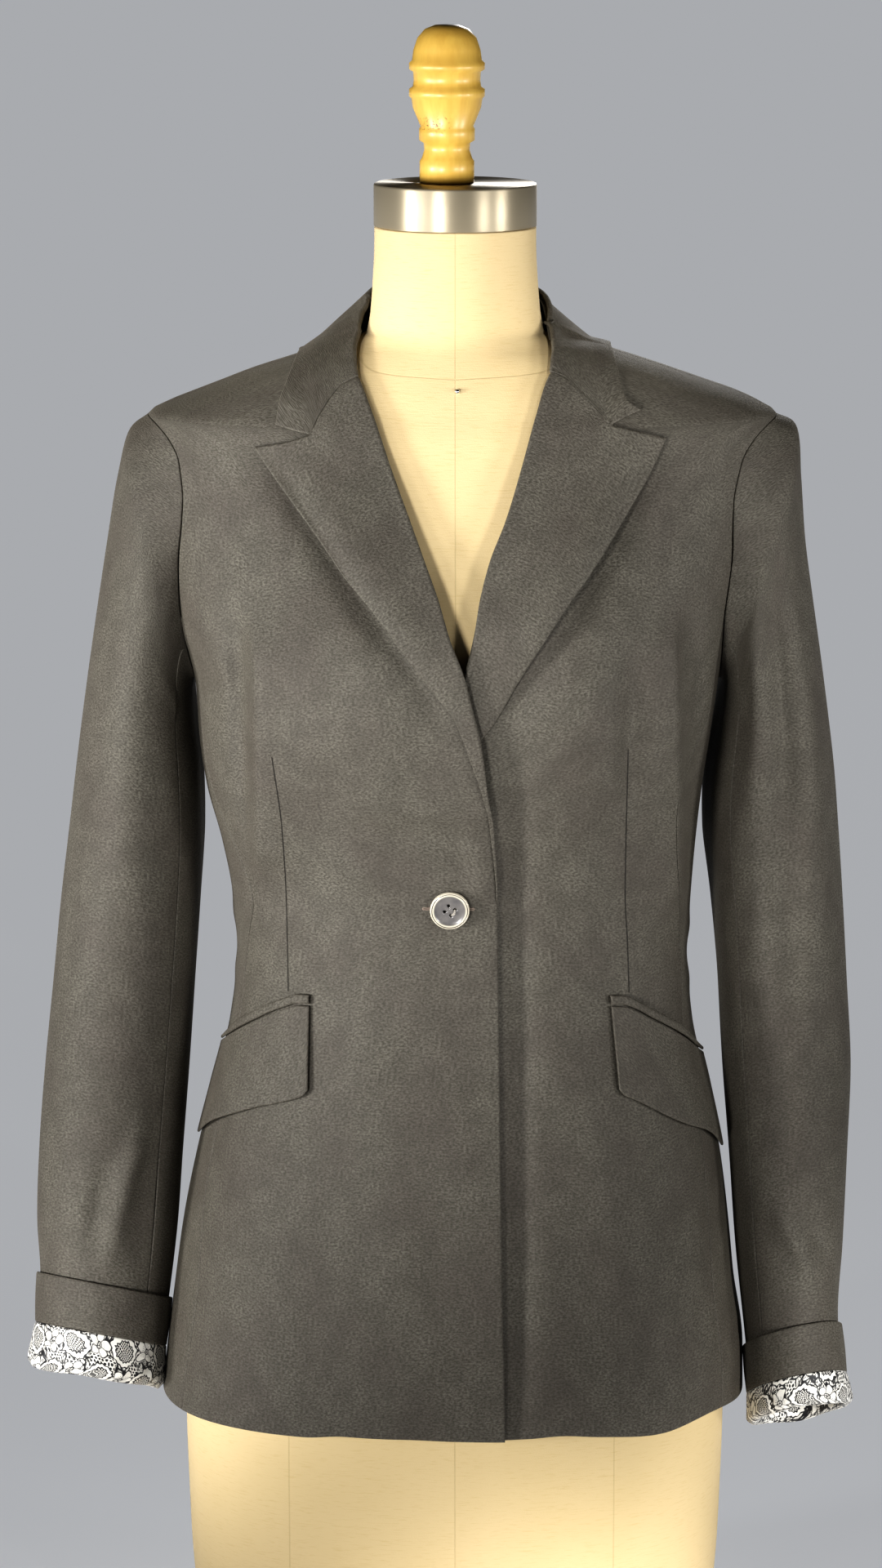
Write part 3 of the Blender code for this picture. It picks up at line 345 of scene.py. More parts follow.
def cloth_size(grid, around=False):
    """The cut's width, length and area in metres, measured along the cloth itself."""
    closed = np.concatenate([grid, grid[:, :1]], 1) if around else grid
    width, length = run(closed, 1)[:, -1].max(), run(closed, 0)[-1].max()
    a, b = closed[1:, 1:] - closed[:-1, :-1], closed[1:, :-1] - closed[:-1, 1:]
    area = np.linalg.norm(np.cross(a, b), axis=-1).sum() / 2
    return width * MM, length * MM, area * MM * MM


def sewn(piece, grid, around=False):
    """Hides the CAD part that a sewn piece stands for, and prints the size of its cut."""
    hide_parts(piece.name.removesuffix("_cloth"))
    width, length, area = cloth_size(grid, around)
    width, length = max(width, NARROWEST_CUT), max(length, NARROWEST_CUT)
    print(f"{piece.name}: {width * 1000:.0f} x {length * 1000:.0f} mm, {area * 1e4:.0f} cm2,"
          f" {len(piece.data.polygons) * 2} triangles")


# %% [markdown]
# ## The garment's outer face
# The whole jacket is cut out of one surface: a stack of level rings, each a squared oval with
# its own half-widths and depths. The bust and the long folds stand out of it as rounded ridges,
# and so do the soft creases, which were placed one by one, uneven in length, height and
# spacing. Cloth simulation could find creases too, but it would not find these ones, and it
# would pull the lapels and the pockets out of shape. Panels take their points from this
# surface, so a crease runs on across a seam, and under a pocket flap, as it does in real cloth.

# %% Sizes shared by the pieces, in millimetres
RIGHT, LEFT = -1, 1                       # the wearer's sides
SIDES = {"right": RIGHT, "left": LEFT}
CLOTH, SLEEVE_CLOTH, LINING_CLOTH = 1.8, 1.5, 0.9
LAYER_GAP = 0.5
SEAM_GAP = 0.15
SEAM_ROUND, EDGE_ROUND = 0.8, 1.3         # how far a seam and a finished edge roll under
THIN_ROUND, LINING_ROUND = 0.4, 0.5       # the same for a fold's hidden edge and for lining
HEM_Z, ARMHOLE_LOW_Z, ARMHOLE_TOP_Z, NECK_Z = 173.0, 604.0, 759.0, 802.0

# The garment's rings: half-widths to each side, depths to the front and back, and the
# power of the oval (2 is an ellipse, more is squarer).
TORSO = (
    ("z", "right", "left", "front", "back", "square"),
    (160, 176.5, 173.0, 122.0, 129.0, 2.30),
    (200, 172.0, 172.5, 122.5, 131.0, 2.30),
    (242, 166.0, 166.0, 122.0, 132.0, 2.30),
    (280, 160.5, 162.0, 119.5, 130.0, 2.30),
    (322, 152.5, 157.0, 114.0, 122.0, 2.30),
    (362, 142.5, 149.0, 107.0, 110.0, 2.28),
    (401, 133.0, 140.5, 100.0, 97.0, 2.25),
    (441, 128.5, 137.0, 96.0, 89.0, 2.22),
    (476, 131.0, 139.0, 98.0, 87.0, 2.22),
    (509, 137.0, 141.5, 103.0, 89.5, 2.25),
    (542, 145.5, 145.0, 110.0, 94.0, 2.30),
    (570, 149.5, 149.0, 116.0, 98.0, 2.35),
    (603, 151.5, 153.5, 121.0, 102.0, 2.38),
    (645, 163.0, 160.0, 119.0, 105.0, 2.35),
    (680, 169.0, 169.0, 109.0, 105.0, 2.30),
    (720, 173.5, 178.0, 93.0, 101.0, 2.28),
    (745, 176.0, 183.5, 82.0, 94.0, 2.25),
    (759, 177.5, 186.0, 75.5, 88.5, 2.22),
    (765, 167.5, 177.5, 72.0, 86.0, 2.20),
    (771, 152.5, 165.0, 69.0, 83.5, 2.18),
    (777, 137.0, 148.0, 66.0, 80.5, 2.15),
    (784, 119.0, 128.0, 62.0, 76.5, 2.10),
    (791, 97.0, 107.0, 58.0, 72.0, 2.05),
    (797, 78.5, 88.0, 55.0, 68.0, 2.00),
    (804, 62.0, 66.0, 52.0, 63.0, 2.00),
    (812, 51.0, 54.0, 47.0, 58.0, 2.00),
)

# The bust, then the long folds that run down from it beside each armhole. A fold falls away
# gently towards the middle of the front and steeply towards the side.
END_SPREAD = 1.1
BUST = (
    ("x", "z", "x_end", "z_end", "height", "reach_in", "reach_out", "side"),
    (80, 588, 80, 618, 9.0, 40, 40, RIGHT),
    (80, 588, 80, 618, 9.0, 40, 40, LEFT),
)
LONG_FOLDS = (
    BUST[0],
    (114.5, 628, 114.0, 520, 8.0, 17, 3.8, RIGHT),
    (124.5, 634, 132.0, 490, 8.0, 15, 3.8, LEFT),
    (62, 520, 58, 400, 1.8, 16, 16, RIGHT),
    (66, 400, 120, 250, 2.0, 20, 20, LEFT),
    (12, 540, 15, 500, 1.2, 9, 5, LEFT),
)

# Soft creases: a ridge (or, below zero, a hollow) from one place to another on a face.
# "at" is x on the front and back, and y on the two sides.
CREASES = (
    ("face", "at", "z", "at_end", "z_end", "height", "reach"),
    ("front", -24, 492, -92, 520, 0.9, 9),
    ("front", -20, 470, -104, 446, 0.8, 8),
    ("front", -14, 452, -76, 356, 1.1, 13),
    ("front", 18, 478, 88, 512, 0.8, 9),
    ("front", 22, 458, 98, 440, 0.8, 8),
    ("front", -6, 420, 24, 236, 1.2, 15),
    ("front", -42, 330, -12, 196, 1.0, 14),
    ("front", -118, 330, -96, 190, 1.2, 15),
    ("front", -70, 300, -58, 186, 0.9, 13),
    ("front", 58, 330, 48, 200, 1.0, 14),
    ("front", 92, 320, 104, 192, 1.2, 14),
    ("front", 138, 350, 146, 186, 1.0, 11),
    ("front", -128, 470, -96, 532, 1.0, 8),
    ("front", -122, 446, -86, 486, 0.9, 7),
    ("front", 126, 468, 96, 528, 1.0, 8),
    ("front", 120, 440, 86, 474, 0.8, 7),
    ("front", -114, 648, -113, 492, 1.6, 3.6),
    ("front", -125, 668, -119, 524, -7.0, 6.5),
    ("front", 124, 652, 132, 446, 1.6, 3.4),
    ("front", 137, 668, 141, 462, -7.0, 6.5),
    ("front", 101, 646, 99, 536, -6.5, 7.5),
    ("front", 6, 582, -115, 756, -5.0, 9),
    ("front", 19, 582, 122, 756, -5.0, 9),
    ("front", -6, 528, 14, 500, -1.8, 8),
    ("front", 34, 600, 26, 420, -1.8, 8),
    ("front", -104, 606, -101, 540, -0.9, 5),
    ("front", -150, 660, -118, 590, 1.6, 9),
    ("front", -138, 690, -104, 640, 1.0, 8),
    ("front", 152, 664, 124, 596, 1.5, 9),
    ("front", 140, 700, 110, 655, 0.8, 8),
    ("front", -130, 735, -92, 706, 0.7, 10),
    ("front", 128, 738, 100, 700, 0.7, 9),
    ("back", -60, 420, 20, 404, 1.4, 9),
    ("back", 66, 428, -6, 446, 1.2, 8),
    ("back", -78, 462, -14, 470, 1.0, 8),
    ("back", 84, 476, 30, 462, 1.1, 9),
    ("back", -112, 600, -72, 500, 1.4, 13),
    ("back", 116, 612, 80, 512, 1.3, 12),
    ("back", -132, 690, -86, 664, 1.1, 10),
    ("back", 130, 700, 92, 668, 1.0, 9),
    ("back", -40, 350, -54, 196, 1.3, 16),
    ("back", 52, 340, 64, 190, 1.2, 14),
    ("back", -104, 330, -116, 188, 1.4, 15),
    ("back", 112, 320, 120, 198, 1.2, 15),
    ("right", -20, 470, 34, 452, 1.2, 8),
    ("right", -36, 440, 22, 424, 1.0, 8),
    ("right", 10, 560, 26, 480, 1.0, 11),
    ("right", -10, 330, -24, 190, 1.2, 15),
    ("left", -26, 462, 30, 446, 1.2, 8),
    ("left", -34, 432, 26, 418, 1.0, 8),
    ("left", 6, 556, 22, 476, 1.0, 11),
    ("left", -4, 336, 12, 186, 1.1, 15),
)
UNEVEN_HEIGHT, UNEVEN_SIZE = 0.42, 60.0   # cloth is never quite smooth, even when pressed
FACING, SIDEWAYS = (0.0, 0.35), (0.5, 0.95)    # where creases fade in: cosine, sine of the turn
STEP_TURN, STEP_RISE = math.radians(1.0), 1.5  # the short steps that tell a surface's normal


# %% The surface itself
def half_sizes(table, on_right, in_front, z):
    """A ring's half-width and depth, on the side and the face asked for."""
    width = np.where(on_right, read(table, "right", z), read(table, "left", z))
    depth = np.where(in_front, read(table, "front", z), read(table, "back", z))
    return width, depth


def oval(table, angle, z):
    """A ring's point, x = w sin^(2/p), y = -d cos^(2/p): the angle is 0 at the front."""
    sine, cosine = np.sin(angle), np.cos(angle)
    width, depth = half_sizes(table, sine < 0, cosine > 0, z)
    power = 2 / read(table, "square", z)
    return width * signed_power(sine, power), -depth * signed_power(cosine, power)


def relief(forms, x, z):
    """How far the big forms stand out: height * exp(-across^2 - beyond^2) for each of them."""
    total = np.zeros(np.broadcast(x, z).shape)
    for x0, z0, x1, z1, height, reach_in, reach_out, side in forms[1:]:
        along = np.clip((z - z0) / (z1 - z0), 0, 1)
        outwards = side * x - (x0 + along * (x1 - x0))
        across = outwards / np.where(outwards > 0, reach_out, reach_in)
        beyond = (z - (z0 + along * (z1 - z0))) / (END_SPREAD * reach_in)
        total += height * np.exp(-(across**2) - beyond**2)
    return total


def creased(rows, at, z):
    """Ridges that swell and die away along their length: h (1 - (2t - 1)^2)^1.2 exp(-a^2)."""
    total = np.zeros(np.broadcast(at, z).shape)
    for at0, z0, at1, z1, height, reach in rows:
        length = math.hypot(at1 - at0, z1 - z0)
        along = ((at - at0) * (at1 - at0) + (z - z0) * (z1 - z0)) / length**2
        across = ((at - at0) * (z1 - z0) - (z - z0) * (at1 - at0)) / (length * reach)
        swell = np.clip(1 - (2 * along - 1) ** 2, 0, None) ** 1.2
        total += height * swell * np.exp(-(across**2))
    return total


def creases_on(name):
    """One face's rows of the table, without the face."""
    return [row[1:] for row in CREASES[1:] if row[0] == name]


def skin(angle, z):
    """The garment's outer face, before anything is laid on it."""
    angle, z = np.broadcast_arrays(np.asarray(angle, float), np.asarray(z, float))
    x, y = oval(TORSO, angle, z)
    front, back = smooth(*FACING, np.cos(angle)), smooth(*FACING, -np.cos(angle))
    right, left = smooth(*SIDEWAYS, -np.sin(angle)), smooth(*SIDEWAYS, np.sin(angle))
    uneven = UNEVEN_HEIGHT * ripple(x + y, z, 5, UNEVEN_SIZE)
    ahead = relief(BUST, x, z) + relief(LONG_FOLDS, x, z) + creased(creases_on("front"), x, z)
    out_x = left * creased(creases_on("left"), y, z) - right * creased(creases_on("right"), y, z)
    out_y = back * (creased(creases_on("back"), x, z) + uneven) - front * (ahead + uneven)
    return np.stack([x + out_x, y + out_y, z], axis=-1)


def outward(angle, z, surface=skin):
    """The face's normal, from two short steps across it."""
    across = surface(angle + STEP_TURN, z) - surface(angle - STEP_TURN, z)
    upwards = surface(angle, z + STEP_RISE) - surface(angle, z - STEP_RISE)
    return unit(np.cross(across, upwards))


def face(angle, z, out=0.0):
    """The garment's outer face, moved out by some millimetres."""
    return skin(angle, z) + np.asarray(out)[..., None] * outward(angle, z)


def angle_at_share(share, side, z, back=False):
    """The angle where a ring is this share of its half-width away from the middle."""
    from_middle = np.arcsin(np.clip(share, 0, 1) ** (read(TORSO, "square", z) / 2))
    return side * (math.pi - from_middle if back else from_middle)


def angle_at_x(x, z):
    """The angle on the front where a ring passes this x."""
    width = np.where(x < 0, read(TORSO, "right", z), read(TORSO, "left", z))
    return angle_at_share(np.abs(x) / width, np.sign(x), z)


# %% [markdown]
# ## Cloths, and the lines that are sewn into them
# The suiting is a smooth crepe: a fine pebbled grain, a little longer across than up, with a
# faint sheen. The grain follows the cloth through each piece's own UV map, which is in metres,
# so it keeps its size on every panel. A dart is a line that two folds of cloth share. It could
# be cut into the mesh, but a dart is narrower than any sensible grid, so each front carries its
# distance from its darts as a fact of its points, and the material paints a dark line of shade
# there, the shade that the dart's narrow fold would hold.


# %% Small helpers for nodes, then the suiting
SOFT_STEP = {"interpolation_type": "SMOOTHSTEP"}    # 0 below a value, 1 above another one
COLOURS = {"data_type": "RGBA"}


def feed(made, *values, **links):
    """Gives a node's sockets values or links: the ones in use in order, any one by its name."""
    in_use = [socket for socket in made.inputs if socket.enabled]
    named = [(made.inputs[key.replace("_", " ")], value) for key, value in links.items()]
    for socket, value in [*zip(in_use, values), *named]:
        if isinstance(value, bpy.types.NodeSocket):
            made.id_data.links.new(value, socket)
        else:
            socket.default_value = value


def node(tree, kind, settings=None, *values, out=None, **links):
    """Adds a node and gives its output. Settings are its own; a word alone is its operation."""
    made = tree.nodes.new("ShaderNode" + kind)
    settings = {"operation": settings} if isinstance(settings, str) else settings or {}
    for key, value in settings.items():
        setattr(made, key, value)
    feed(made, *values, **links)
    return made.outputs[out] if out else next(socket for socket in made.outputs if socket.enabled)


def new_material(name, **settings):
    """A material, its Principled shader with settings for its sockets, and node() for its tree."""
    made = bpy.data.materials.new(name)
    made.use_nodes = True
    shader = made.node_tree.nodes["Principled BSDF"]
    feed(shader, **settings)
    return made, shader, functools.partial(node, made.node_tree)


def cut_places(add, across, along):
    """The piece's own UV place, scaled to `across` and `along` millimetres a unit."""
    uv = add("UVMap", {"uv_map": "cut"})
    return add("Mapping", Vector=uv, Scale=(1000 / across, 1000 / along, 1.0))


def tinted(add, colour, pattern, low, high, most, tint):
    """The colour with a tint where a pattern is high: none of it below low, `most` above high."""
    share = add("Math", "MULTIPLY", add("MapRange", SOFT_STEP, pattern, low, high), most)
    return add("Mix", COLOURS, share, colour, linear(tint))


# One pebble of the crepe, in millimetres. The real ones are about half as big, which is too fine
# to show at the picture's size.
GRAIN_ACROSS, GRAIN_ALONG = 1.7, 1.1
SEAM_LINE = 0.30                          # millimetres, half the width of a dart's line of painted shade


def suiting(name, with_painted_dart_shade=False):
    """Dark taupe crepe: a pebbled grain, faint mottling, lint, and painted shade along its darts if
    it has any.
    """
    made, shader, add = new_material(name, Roughness=0.68, Sheen_Weight=0.18, Sheen_Roughness=0.5,
                                     Sheen_Tint=linear("B5AC9A"), Specular_IOR_Level=0.4)
    grain = add("TexNoise", None, cut_places(add, GRAIN_ACROSS, GRAIN_ALONG), 1.0, 3.0, 0.6)
    broad = add("TexNoise", None, cut_places(add, 46.0, 60.0), 1.0, 2.0, 0.5)
    slubs = add("TexNoise", None, cut_places(add, 0.7, 9.0), 1.0, 2.0, 0.5)
    patchy = add("TexNoise", None, cut_places(add, 13.0, 17.0), 1.0, 3.0, 0.55)
    specks = add("TexNoise", None, cut_places(add, 1.6, 1.6), 1.0, 1.0, 0.4)
    tone = add("MapRange", SOFT_STEP, grain, 0.3, 0.75)
    tone = add("Math", "MULTIPLY_ADD", slubs, 0.25, tone)
    colour = add("Mix", COLOURS, tone, linear("37332B"), linear("69655C"))
    colour = tinted(add, colour, broad, 0.35, 0.7, 0.35, "453D38")
    colour = tinted(add, colour, patchy, 0.3, 0.7, 0.32, "3A362F")
    colour = tinted(add, colour, specks, 0.835, 0.86, 0.5, "8F8A80")
    normal = add("Bump", Height=grain, Distance=0.00065, Strength=0.9)
    if with_painted_dart_shade:
        facts = add("Attribute", {"attribute_name": "lines"}, out="Vector")
        nearest = add("VectorMath", "LENGTH", facts)
        dip = add("MapRange", SOFT_STEP, nearest, 0.0, SEAM_LINE * 2)
        normal = add("Bump", Height=dip, Distance=0.0006, Strength=1.0, Normal=normal)
        clear = add("MapRange", SOFT_STEP, nearest, SEAM_LINE * 0.4, SEAM_LINE * 1.5)
        # A dart's line is painted shade: a near-black line for the shade in the dart's fold.
        dark = add("Math", "MULTIPLY", add("Math", "SUBTRACT", 1.0, clear), 0.8)
        colour = add("Mix", COLOURS, dark, colour, linear("0E0D0B"))
    feed(shader, Base_Color=colour, Normal=normal)
    return made


crepe = suiting("taupe_crepe")
crepe_with_painted_dart_shade = suiting("taupe_crepe_with_painted_dart_shade", with_painted_dart_shade=True)
print("suiting grain", GRAIN_ACROSS, "x", GRAIN_ALONG, "mm")


# %% [markdown]
# ## Fronts, side panels and backs
# A panel is cut between two seam lines. Each line is a table of places on the rings, so the
# panels on both sides of a seam read the same line and meet along it. Rows climb from the hem
# to the neck, and columns stand close together near the edges, where the cloth rolls under.

# %% Seam lines and rows
HEM_FADE = 50.0
HEM = (
    ("x", "lift"),
    (-150, 0.5),
    (-120, 1.0),
    (-88, 1.5),
    (-65, 4.0),
    (-30, 4.3),
    (0, 3.5),
    (29, 2.8),
    (60, 4.5),
    (85, 2.0),
    (120, -1.5),
    (154, 3.0),
    (176, 0.0),
)
FRONT_EDGE = (
    ("z", "right", "left"),
    (172, 28.8, -24.0),
    (210, 28.3, -24.0),
    (264, 26.8, -24.0),
    (340, 25.8, -24.0),
    (421, 24.8, -24.0),
    (488, 23.4, -23.5),
    (534, 21.3, -21.5),
    (560, 17.8, -18.0),
    (578, 16.1, -14.0),
    (591, 14.0, -9.5),
    (607, 9.8, -3.5),
    (626, 5.0, 4.5),
    (650, -4.1, 10.5),
    (666, -9.0, 13.2),
    (688, -17.0, 19.0),
    (710, -25.3, 28.0),
    (738, -36.1, 37.0),
    (766, -46.2, 45.3),
    (786, -54.7, 52.3),
    (792, -58.3, 57.0),
    (797, -60.8, 60.5),
    (802, -62.5, 64.0),
)
BREAK_Z = 560.0
FRONT_SEAM = (
    ("z", "right", "left"),
    (172, 0.925, 0.912),
    (244, 0.915, 0.918),
    (312, 0.941, 0.930),
    (400, 0.955, 0.952),
    (430, 0.957, 0.968),
    (455, 0.935, 0.955),
    (484, 0.890, 0.935),
    (512, 0.925, 0.905),
    (540, 0.960, 0.885),
    (566, 0.975, 0.920),
    (590, 0.980, 0.968),
    (643, 0.970, 0.970),
)
BACK_SEAM = (
    ("z", "share"),
    (172, 0.90),
    (300, 0.88),
    (446, 0.85),
    (540, 0.90),
    (600, 0.95),
    (643, 0.965),
)
ARMHOLE = (
    ("z", "front", "back"),
    (604, 1.000, 1.000),
    (606.6, 0.999, 0.999),
    (614.4, 0.994, 0.993),
    (626.7, 0.984, 0.982),
    (643, 0.970, 0.965),
    (661.4, 0.956, 0.940),
    (681.5, 0.938, 0.918),
    (701.6, 0.914, 0.908),
    (720.3, 0.900, 0.908),
    (736.3, 0.904, 0.920),
    (748.6, 0.933, 0.945),
    (756.4, 0.975, 0.980),
    (759, 1.000, 1.000),
)
OVERLAP_X = (-78.0, -32.0)                # where the right front climbs over the left one
OVERLAP_END_Z = (650.0, 720.0)
LAPEL_TAIL_Z = (530.0, 550.0, 630.0, 665.0)

GRID_STEP = 2.4                           # millimetres between rows and between columns
SHOULDER_STEP = 2.5
FRONT_COLUMNS, SIDE_COLUMNS, BACK_COLUMNS = 78, 34, 40
SIDE_WIDTH, SIDE_ROWS, ARMHOLE_ROWS = 95.0, 190, 44
ROUND_EDGE_WIDTH = 16                     # a narrower piece has its edge columns closer still
NEAR_EDGE = np.array([0.0, 0.2, 0.45, 0.8, 1.3, 2.2])


def armhole_z(turn):
    """The armhole seam's level at a turn round it: 0 at the top, 90 degrees at the front."""
    middle, half = (ARMHOLE_TOP_Z + ARMHOLE_LOW_Z) / 2, (ARMHOLE_TOP_Z - ARMHOLE_LOW_Z) / 2
    return middle + half * np.cos(turn)


JOIN = math.radians(120)                  # where the side panel's seams reach the armhole
JOIN_Z = float(armhole_z(JOIN))


def steps_between(low, high, step=GRID_STEP):
    """Even steps from low to high, with neither end left out."""
    return np.linspace(low, high, int(round((high - low) / step)) + 1)


def rows_from_hem(top):
    """Rows that stand close together at the hem, then step evenly to the top."""
    return np.concatenate([HEM_Z + NEAR_EDGE[:-1], steps_between(HEM_Z + NEAR_EDGE[-1], top)])


ARMHOLE_TURNS = np.linspace(JOIN, 0, ARMHOLE_ROWS)
PANEL_ROWS = np.concatenate([
    rows_from_hem(JOIN_Z)[:-1], armhole_z(ARMHOLE_TURNS)[:-1],
    steps_between(ARMHOLE_TOP_Z, NECK_Z, SHOULDER_STEP),
])


def armhole_angle(turn, side):
    """The body angle of the armhole seam at a turn round the armhole."""
    z = armhole_z(turn)
    front = angle_at_share(read(ARMHOLE, "front", z), side, z)
    back = angle_at_share(read(ARMHOLE, "back", z), side, z, back=True)
    return np.where(np.sin(turn) >= 0, front, back)


def hem_line(angle, z):
    """Levels near the hem, lifted to the hem's own line; rows above it, or behind, stay level."""
    lift = read(HEM, "lift", skin(angle, z)[..., 0]) * smooth(-0.2, 0.35, np.cos(angle))
    return z + lift * (1 - smooth(HEM_Z, HEM_Z + HEM_FADE, z))


def front_limit(z, name):
    """The body angle where the front panel ends: side seam, armhole, then shoulder seam."""
    side = SIDES[name]
    seam = angle_at_share(read(FRONT_SEAM, name, z), side, z)
    armhole = angle_at_share(read(ARMHOLE, "front", z), side, z)
    return np.where(z <= JOIN_Z, seam, np.where(z < ARMHOLE_TOP_Z, armhole, side * math.pi / 2))


def back_limit(z, name):
    """The body angle where the back panel ends."""
    side = SIDES[name]
    seam = angle_at_share(read(BACK_SEAM, "share", z), side, z, back=True)
    armhole = angle_at_share(read(ARMHOLE, "back", z), side, z, back=True)
    return np.where(z <= JOIN_Z, seam, np.where(z < ARMHOLE_TOP_Z, armhole, side * math.pi / 2))


def overlap_rise(x, z):
    """How far the right front lifts to lie over the left front, and over its lapel's end."""
    low, full, fading, high = LAPEL_TAIL_Z
    over_front = (CLOTH + LAYER_GAP) * (1 - smooth(*OVERLAP_END_Z, z))
    over_lapel = (CLOTH + 3 * LAYER_GAP) * smooth(low, full, z) * (1 - smooth(fading, high, z))
    return smooth(*OVERLAP_X, x) * (over_front + over_lapel)


def shares_for(width, count):
    """Shares of each row's width: close together near both edges and even between them."""
    near = NEAR_EDGE * np.minimum(1, width / ROUND_EDGE_WIDTH)[:, None] / width[:, None]
    even = np.linspace(0, 1, count)[None, :]
    start, end = near[:, -1:], 1 - near[:, -1:]
    return np.concatenate([near[:, :-1], start + even * (end - start), 1 - near[:, -2::-1]], 1)


def panel_angles(start, end, z, count):
    """Body angles from one seam to the other, row by row, spaced by what the cloth measures."""
    coarse = np.linspace(0, 1, 25)[None, :]
    rough = skin(start[:, None] + (end - start)[:, None] * coarse, z[:, None] + 0 * coarse)
    width = np.maximum(run(rough, 1)[:, -1], 1.0)
    return start[:, None] + (end - start)[:, None] * shares_for(width, count)


# The edges of a grid, each with the line of points next to it.
EDGES = {
    "first": (np.s_[:, 0], np.s_[:, 1]),
    "last": (np.s_[:, -1], np.s_[:, -2]),
    "bottom": (np.s_[0], np.s_[1]),
    "top": (np.s_[-1], np.s_[-2]),
}


def trimmed(points, sides, by=SEAM_GAP / 2):
    """The grid drawn in along its seams by half the gap that the stitching leaves."""
    points = points.copy()
    for side in sides:
        edge, inside = EDGES[side]
        points[edge] += by * unit(points[inside] - points[edge])
    return points


# %% Two fronts, with a dart in each
# Darts, from the tip under the bust down to the pocket, on the front face.
DARTS = {
    "right": (
        ("z", "x"), (430.6, -96.5), (492, -97.3), (533, -99.0), (576, -103.9),
    ),
    "left": (
        ("z", "x"), (430.5, 100.7), (460, 99.5), (492.5, 97.7), (525, 97.7), (563.6, 98.0),
        (580, 98.1),
    ),
}
ROLL_ROUND, ROLL_START = 1.9, 0.35        # radius of the roll along a lapel's fold, and below it
ROLL_ROOM, ROLL_ROOM_Z = 2.4, (BREAK_Z - 2, BREAK_Z + 14)


def dart_distance(name, x, z):
    """Millimetres across to the dart's line, and millimetres past its nearer end."""
    table = DARTS[name]
    low, high = table[1][0], table[-1][0]
    beyond = np.maximum(low - z, 0) + np.maximum(z - high, 0)
    away = x - read(table, "x", z)
    return np.stack([away, beyond, 0 * x], -1)


BESIDE_EDGE = (33.0, 10.0, 5.4)           # the left front sinks beside the right one's edge
BESIDE_EDGE_Z = (172.0, 260.0, 500.0, 585.0)


def beside_edge(x, z):
    """How far the left front sinks along the edge that lies over it."""
    middle, reach, depth = BESIDE_EDGE
    low, full, fading, high = BESIDE_EDGE_Z
    share = (0.35 + 0.65 * smooth(low, full, z)) * (1 - smooth(fading, high, z))
    return depth * share * np.exp(-(((x - middle) / reach) ** 2))


def front_panel(name):
    """From its rolled edge to side seam, armhole and shoulder, over the overlap."""
    side, z = SIDES[name], PANEL_ROWS
    room = side * ROLL_ROOM * smooth(*ROLL_ROOM_Z, z)
    edge = angle_at_x(read(FRONT_EDGE, name, z) + room, z)
    limit = front_limit(z, name)
    start, end = (limit, edge) if name == "right" else (edge, limit)
    angles = panel_angles(start, end, z, FRONT_COLUMNS)
    level = np.broadcast_to(z[:, None], angles.shape)
    heights = hem_line(angles, level)
    x = skin(angles, level)[..., 0]
    out = overlap_rise(x, heights) if name == "right" else -beside_edge(x, heights)
    seam, free = ("first", "last") if name == "right" else ("last", "first")
    points = trimmed(face(angles, heights, out), [seam])
    x, height = points[..., 0], points[..., 2]
    lines = dart_distance(name, x, height)
    edges = {seam: SEAM_ROUND, free: EDGE_ROUND, "bottom": EDGE_ROUND}
    piece = shell(f"front_{name}_cloth", points, CLOTH, edges, crepe_with_painted_dart_shade,
                  facts={"lines": lines})
    sewn(piece, points)


for side_name in SIDES:
    front_panel(side_name)


# %% Two side panels, under the arms
def side_panel(name):
    """Its columns end on the lower arc of the armhole, so its top edge is that seam."""
    height = JOIN_Z - HEM_Z
    share_up = np.concatenate([
        NEAR_EDGE[:-1] / height,
        np.linspace(NEAR_EDGE[-1] / height, 1 - NEAR_EDGE[-1] / height, SIDE_ROWS),
        1 - NEAR_EDGE[-2::-1] / height,
    ])
    level = shares_for(np.array([SIDE_WIDTH]), SIDE_COLUMNS)[0]
    turns = JOIN + level * (2 * math.pi - 2 * JOIN)
    z = HEM_Z + share_up[:, None] * (armhole_z(turns) - HEM_Z)[None, :]
    front, back = front_limit(z[:, :1], name), back_limit(z[:, -1:], name)
    top = armhole_angle(turns, SIDES[name])
    at_top = (top - top[0]) / (top[-1] - top[0])
    shares = level + smooth(0.75, 1.0, share_up)[:, None] * (at_top - level)
    angles = front + (back - front) * shares
    if name == "right":
        angles, z = angles[:, ::-1], z[:, ::-1]
    points = trimmed(face(angles, hem_line(angles, z)), ["first", "last", "top"])
    edges = {"first": SEAM_ROUND, "last": SEAM_ROUND, "top": SEAM_ROUND, "bottom": EDGE_ROUND}
    piece = shell(f"side_{name}_cloth", points, CLOTH, edges, crepe)
    sewn(piece, points)


for side_name in SIDES:
    side_panel(side_name)


# %% Two backs, joined down the middle
def back_panel(name):
    """From the centre back seam to the side seam, armhole and shoulder."""
    z = PANEL_ROWS
    centre, limit = np.full(len(z), SIDES[name] * math.pi), back_limit(z, name)
    start, end = (centre, limit) if name == "right" else (limit, centre)
    angles = panel_angles(start, end, z, BACK_COLUMNS)
    points = face(angles, np.broadcast_to(z[:, None], angles.shape))
    points = trimmed(points, ["first", "last"])
    edges = {"first": SEAM_ROUND, "last": SEAM_ROUND, "bottom": EDGE_ROUND}
    piece = shell(f"back_{name}_cloth", points, CLOTH, edges, crepe)
    sewn(piece, points)


for side_name in SIDES:
    back_panel(side_name)


# %% [markdown]
# ## Lapels and collar
# A lapel is the front folded back along the roll line, so its inner edge is a soft roll, not a
# cut edge. Its face is the garment's own surface, moved out by what lies under it and by its
# spring. The roll is a half circle of cloth added along the inner edge. The collar falls over
# its stand with the same kind of roll, and meets the lapel along the gorge seam.

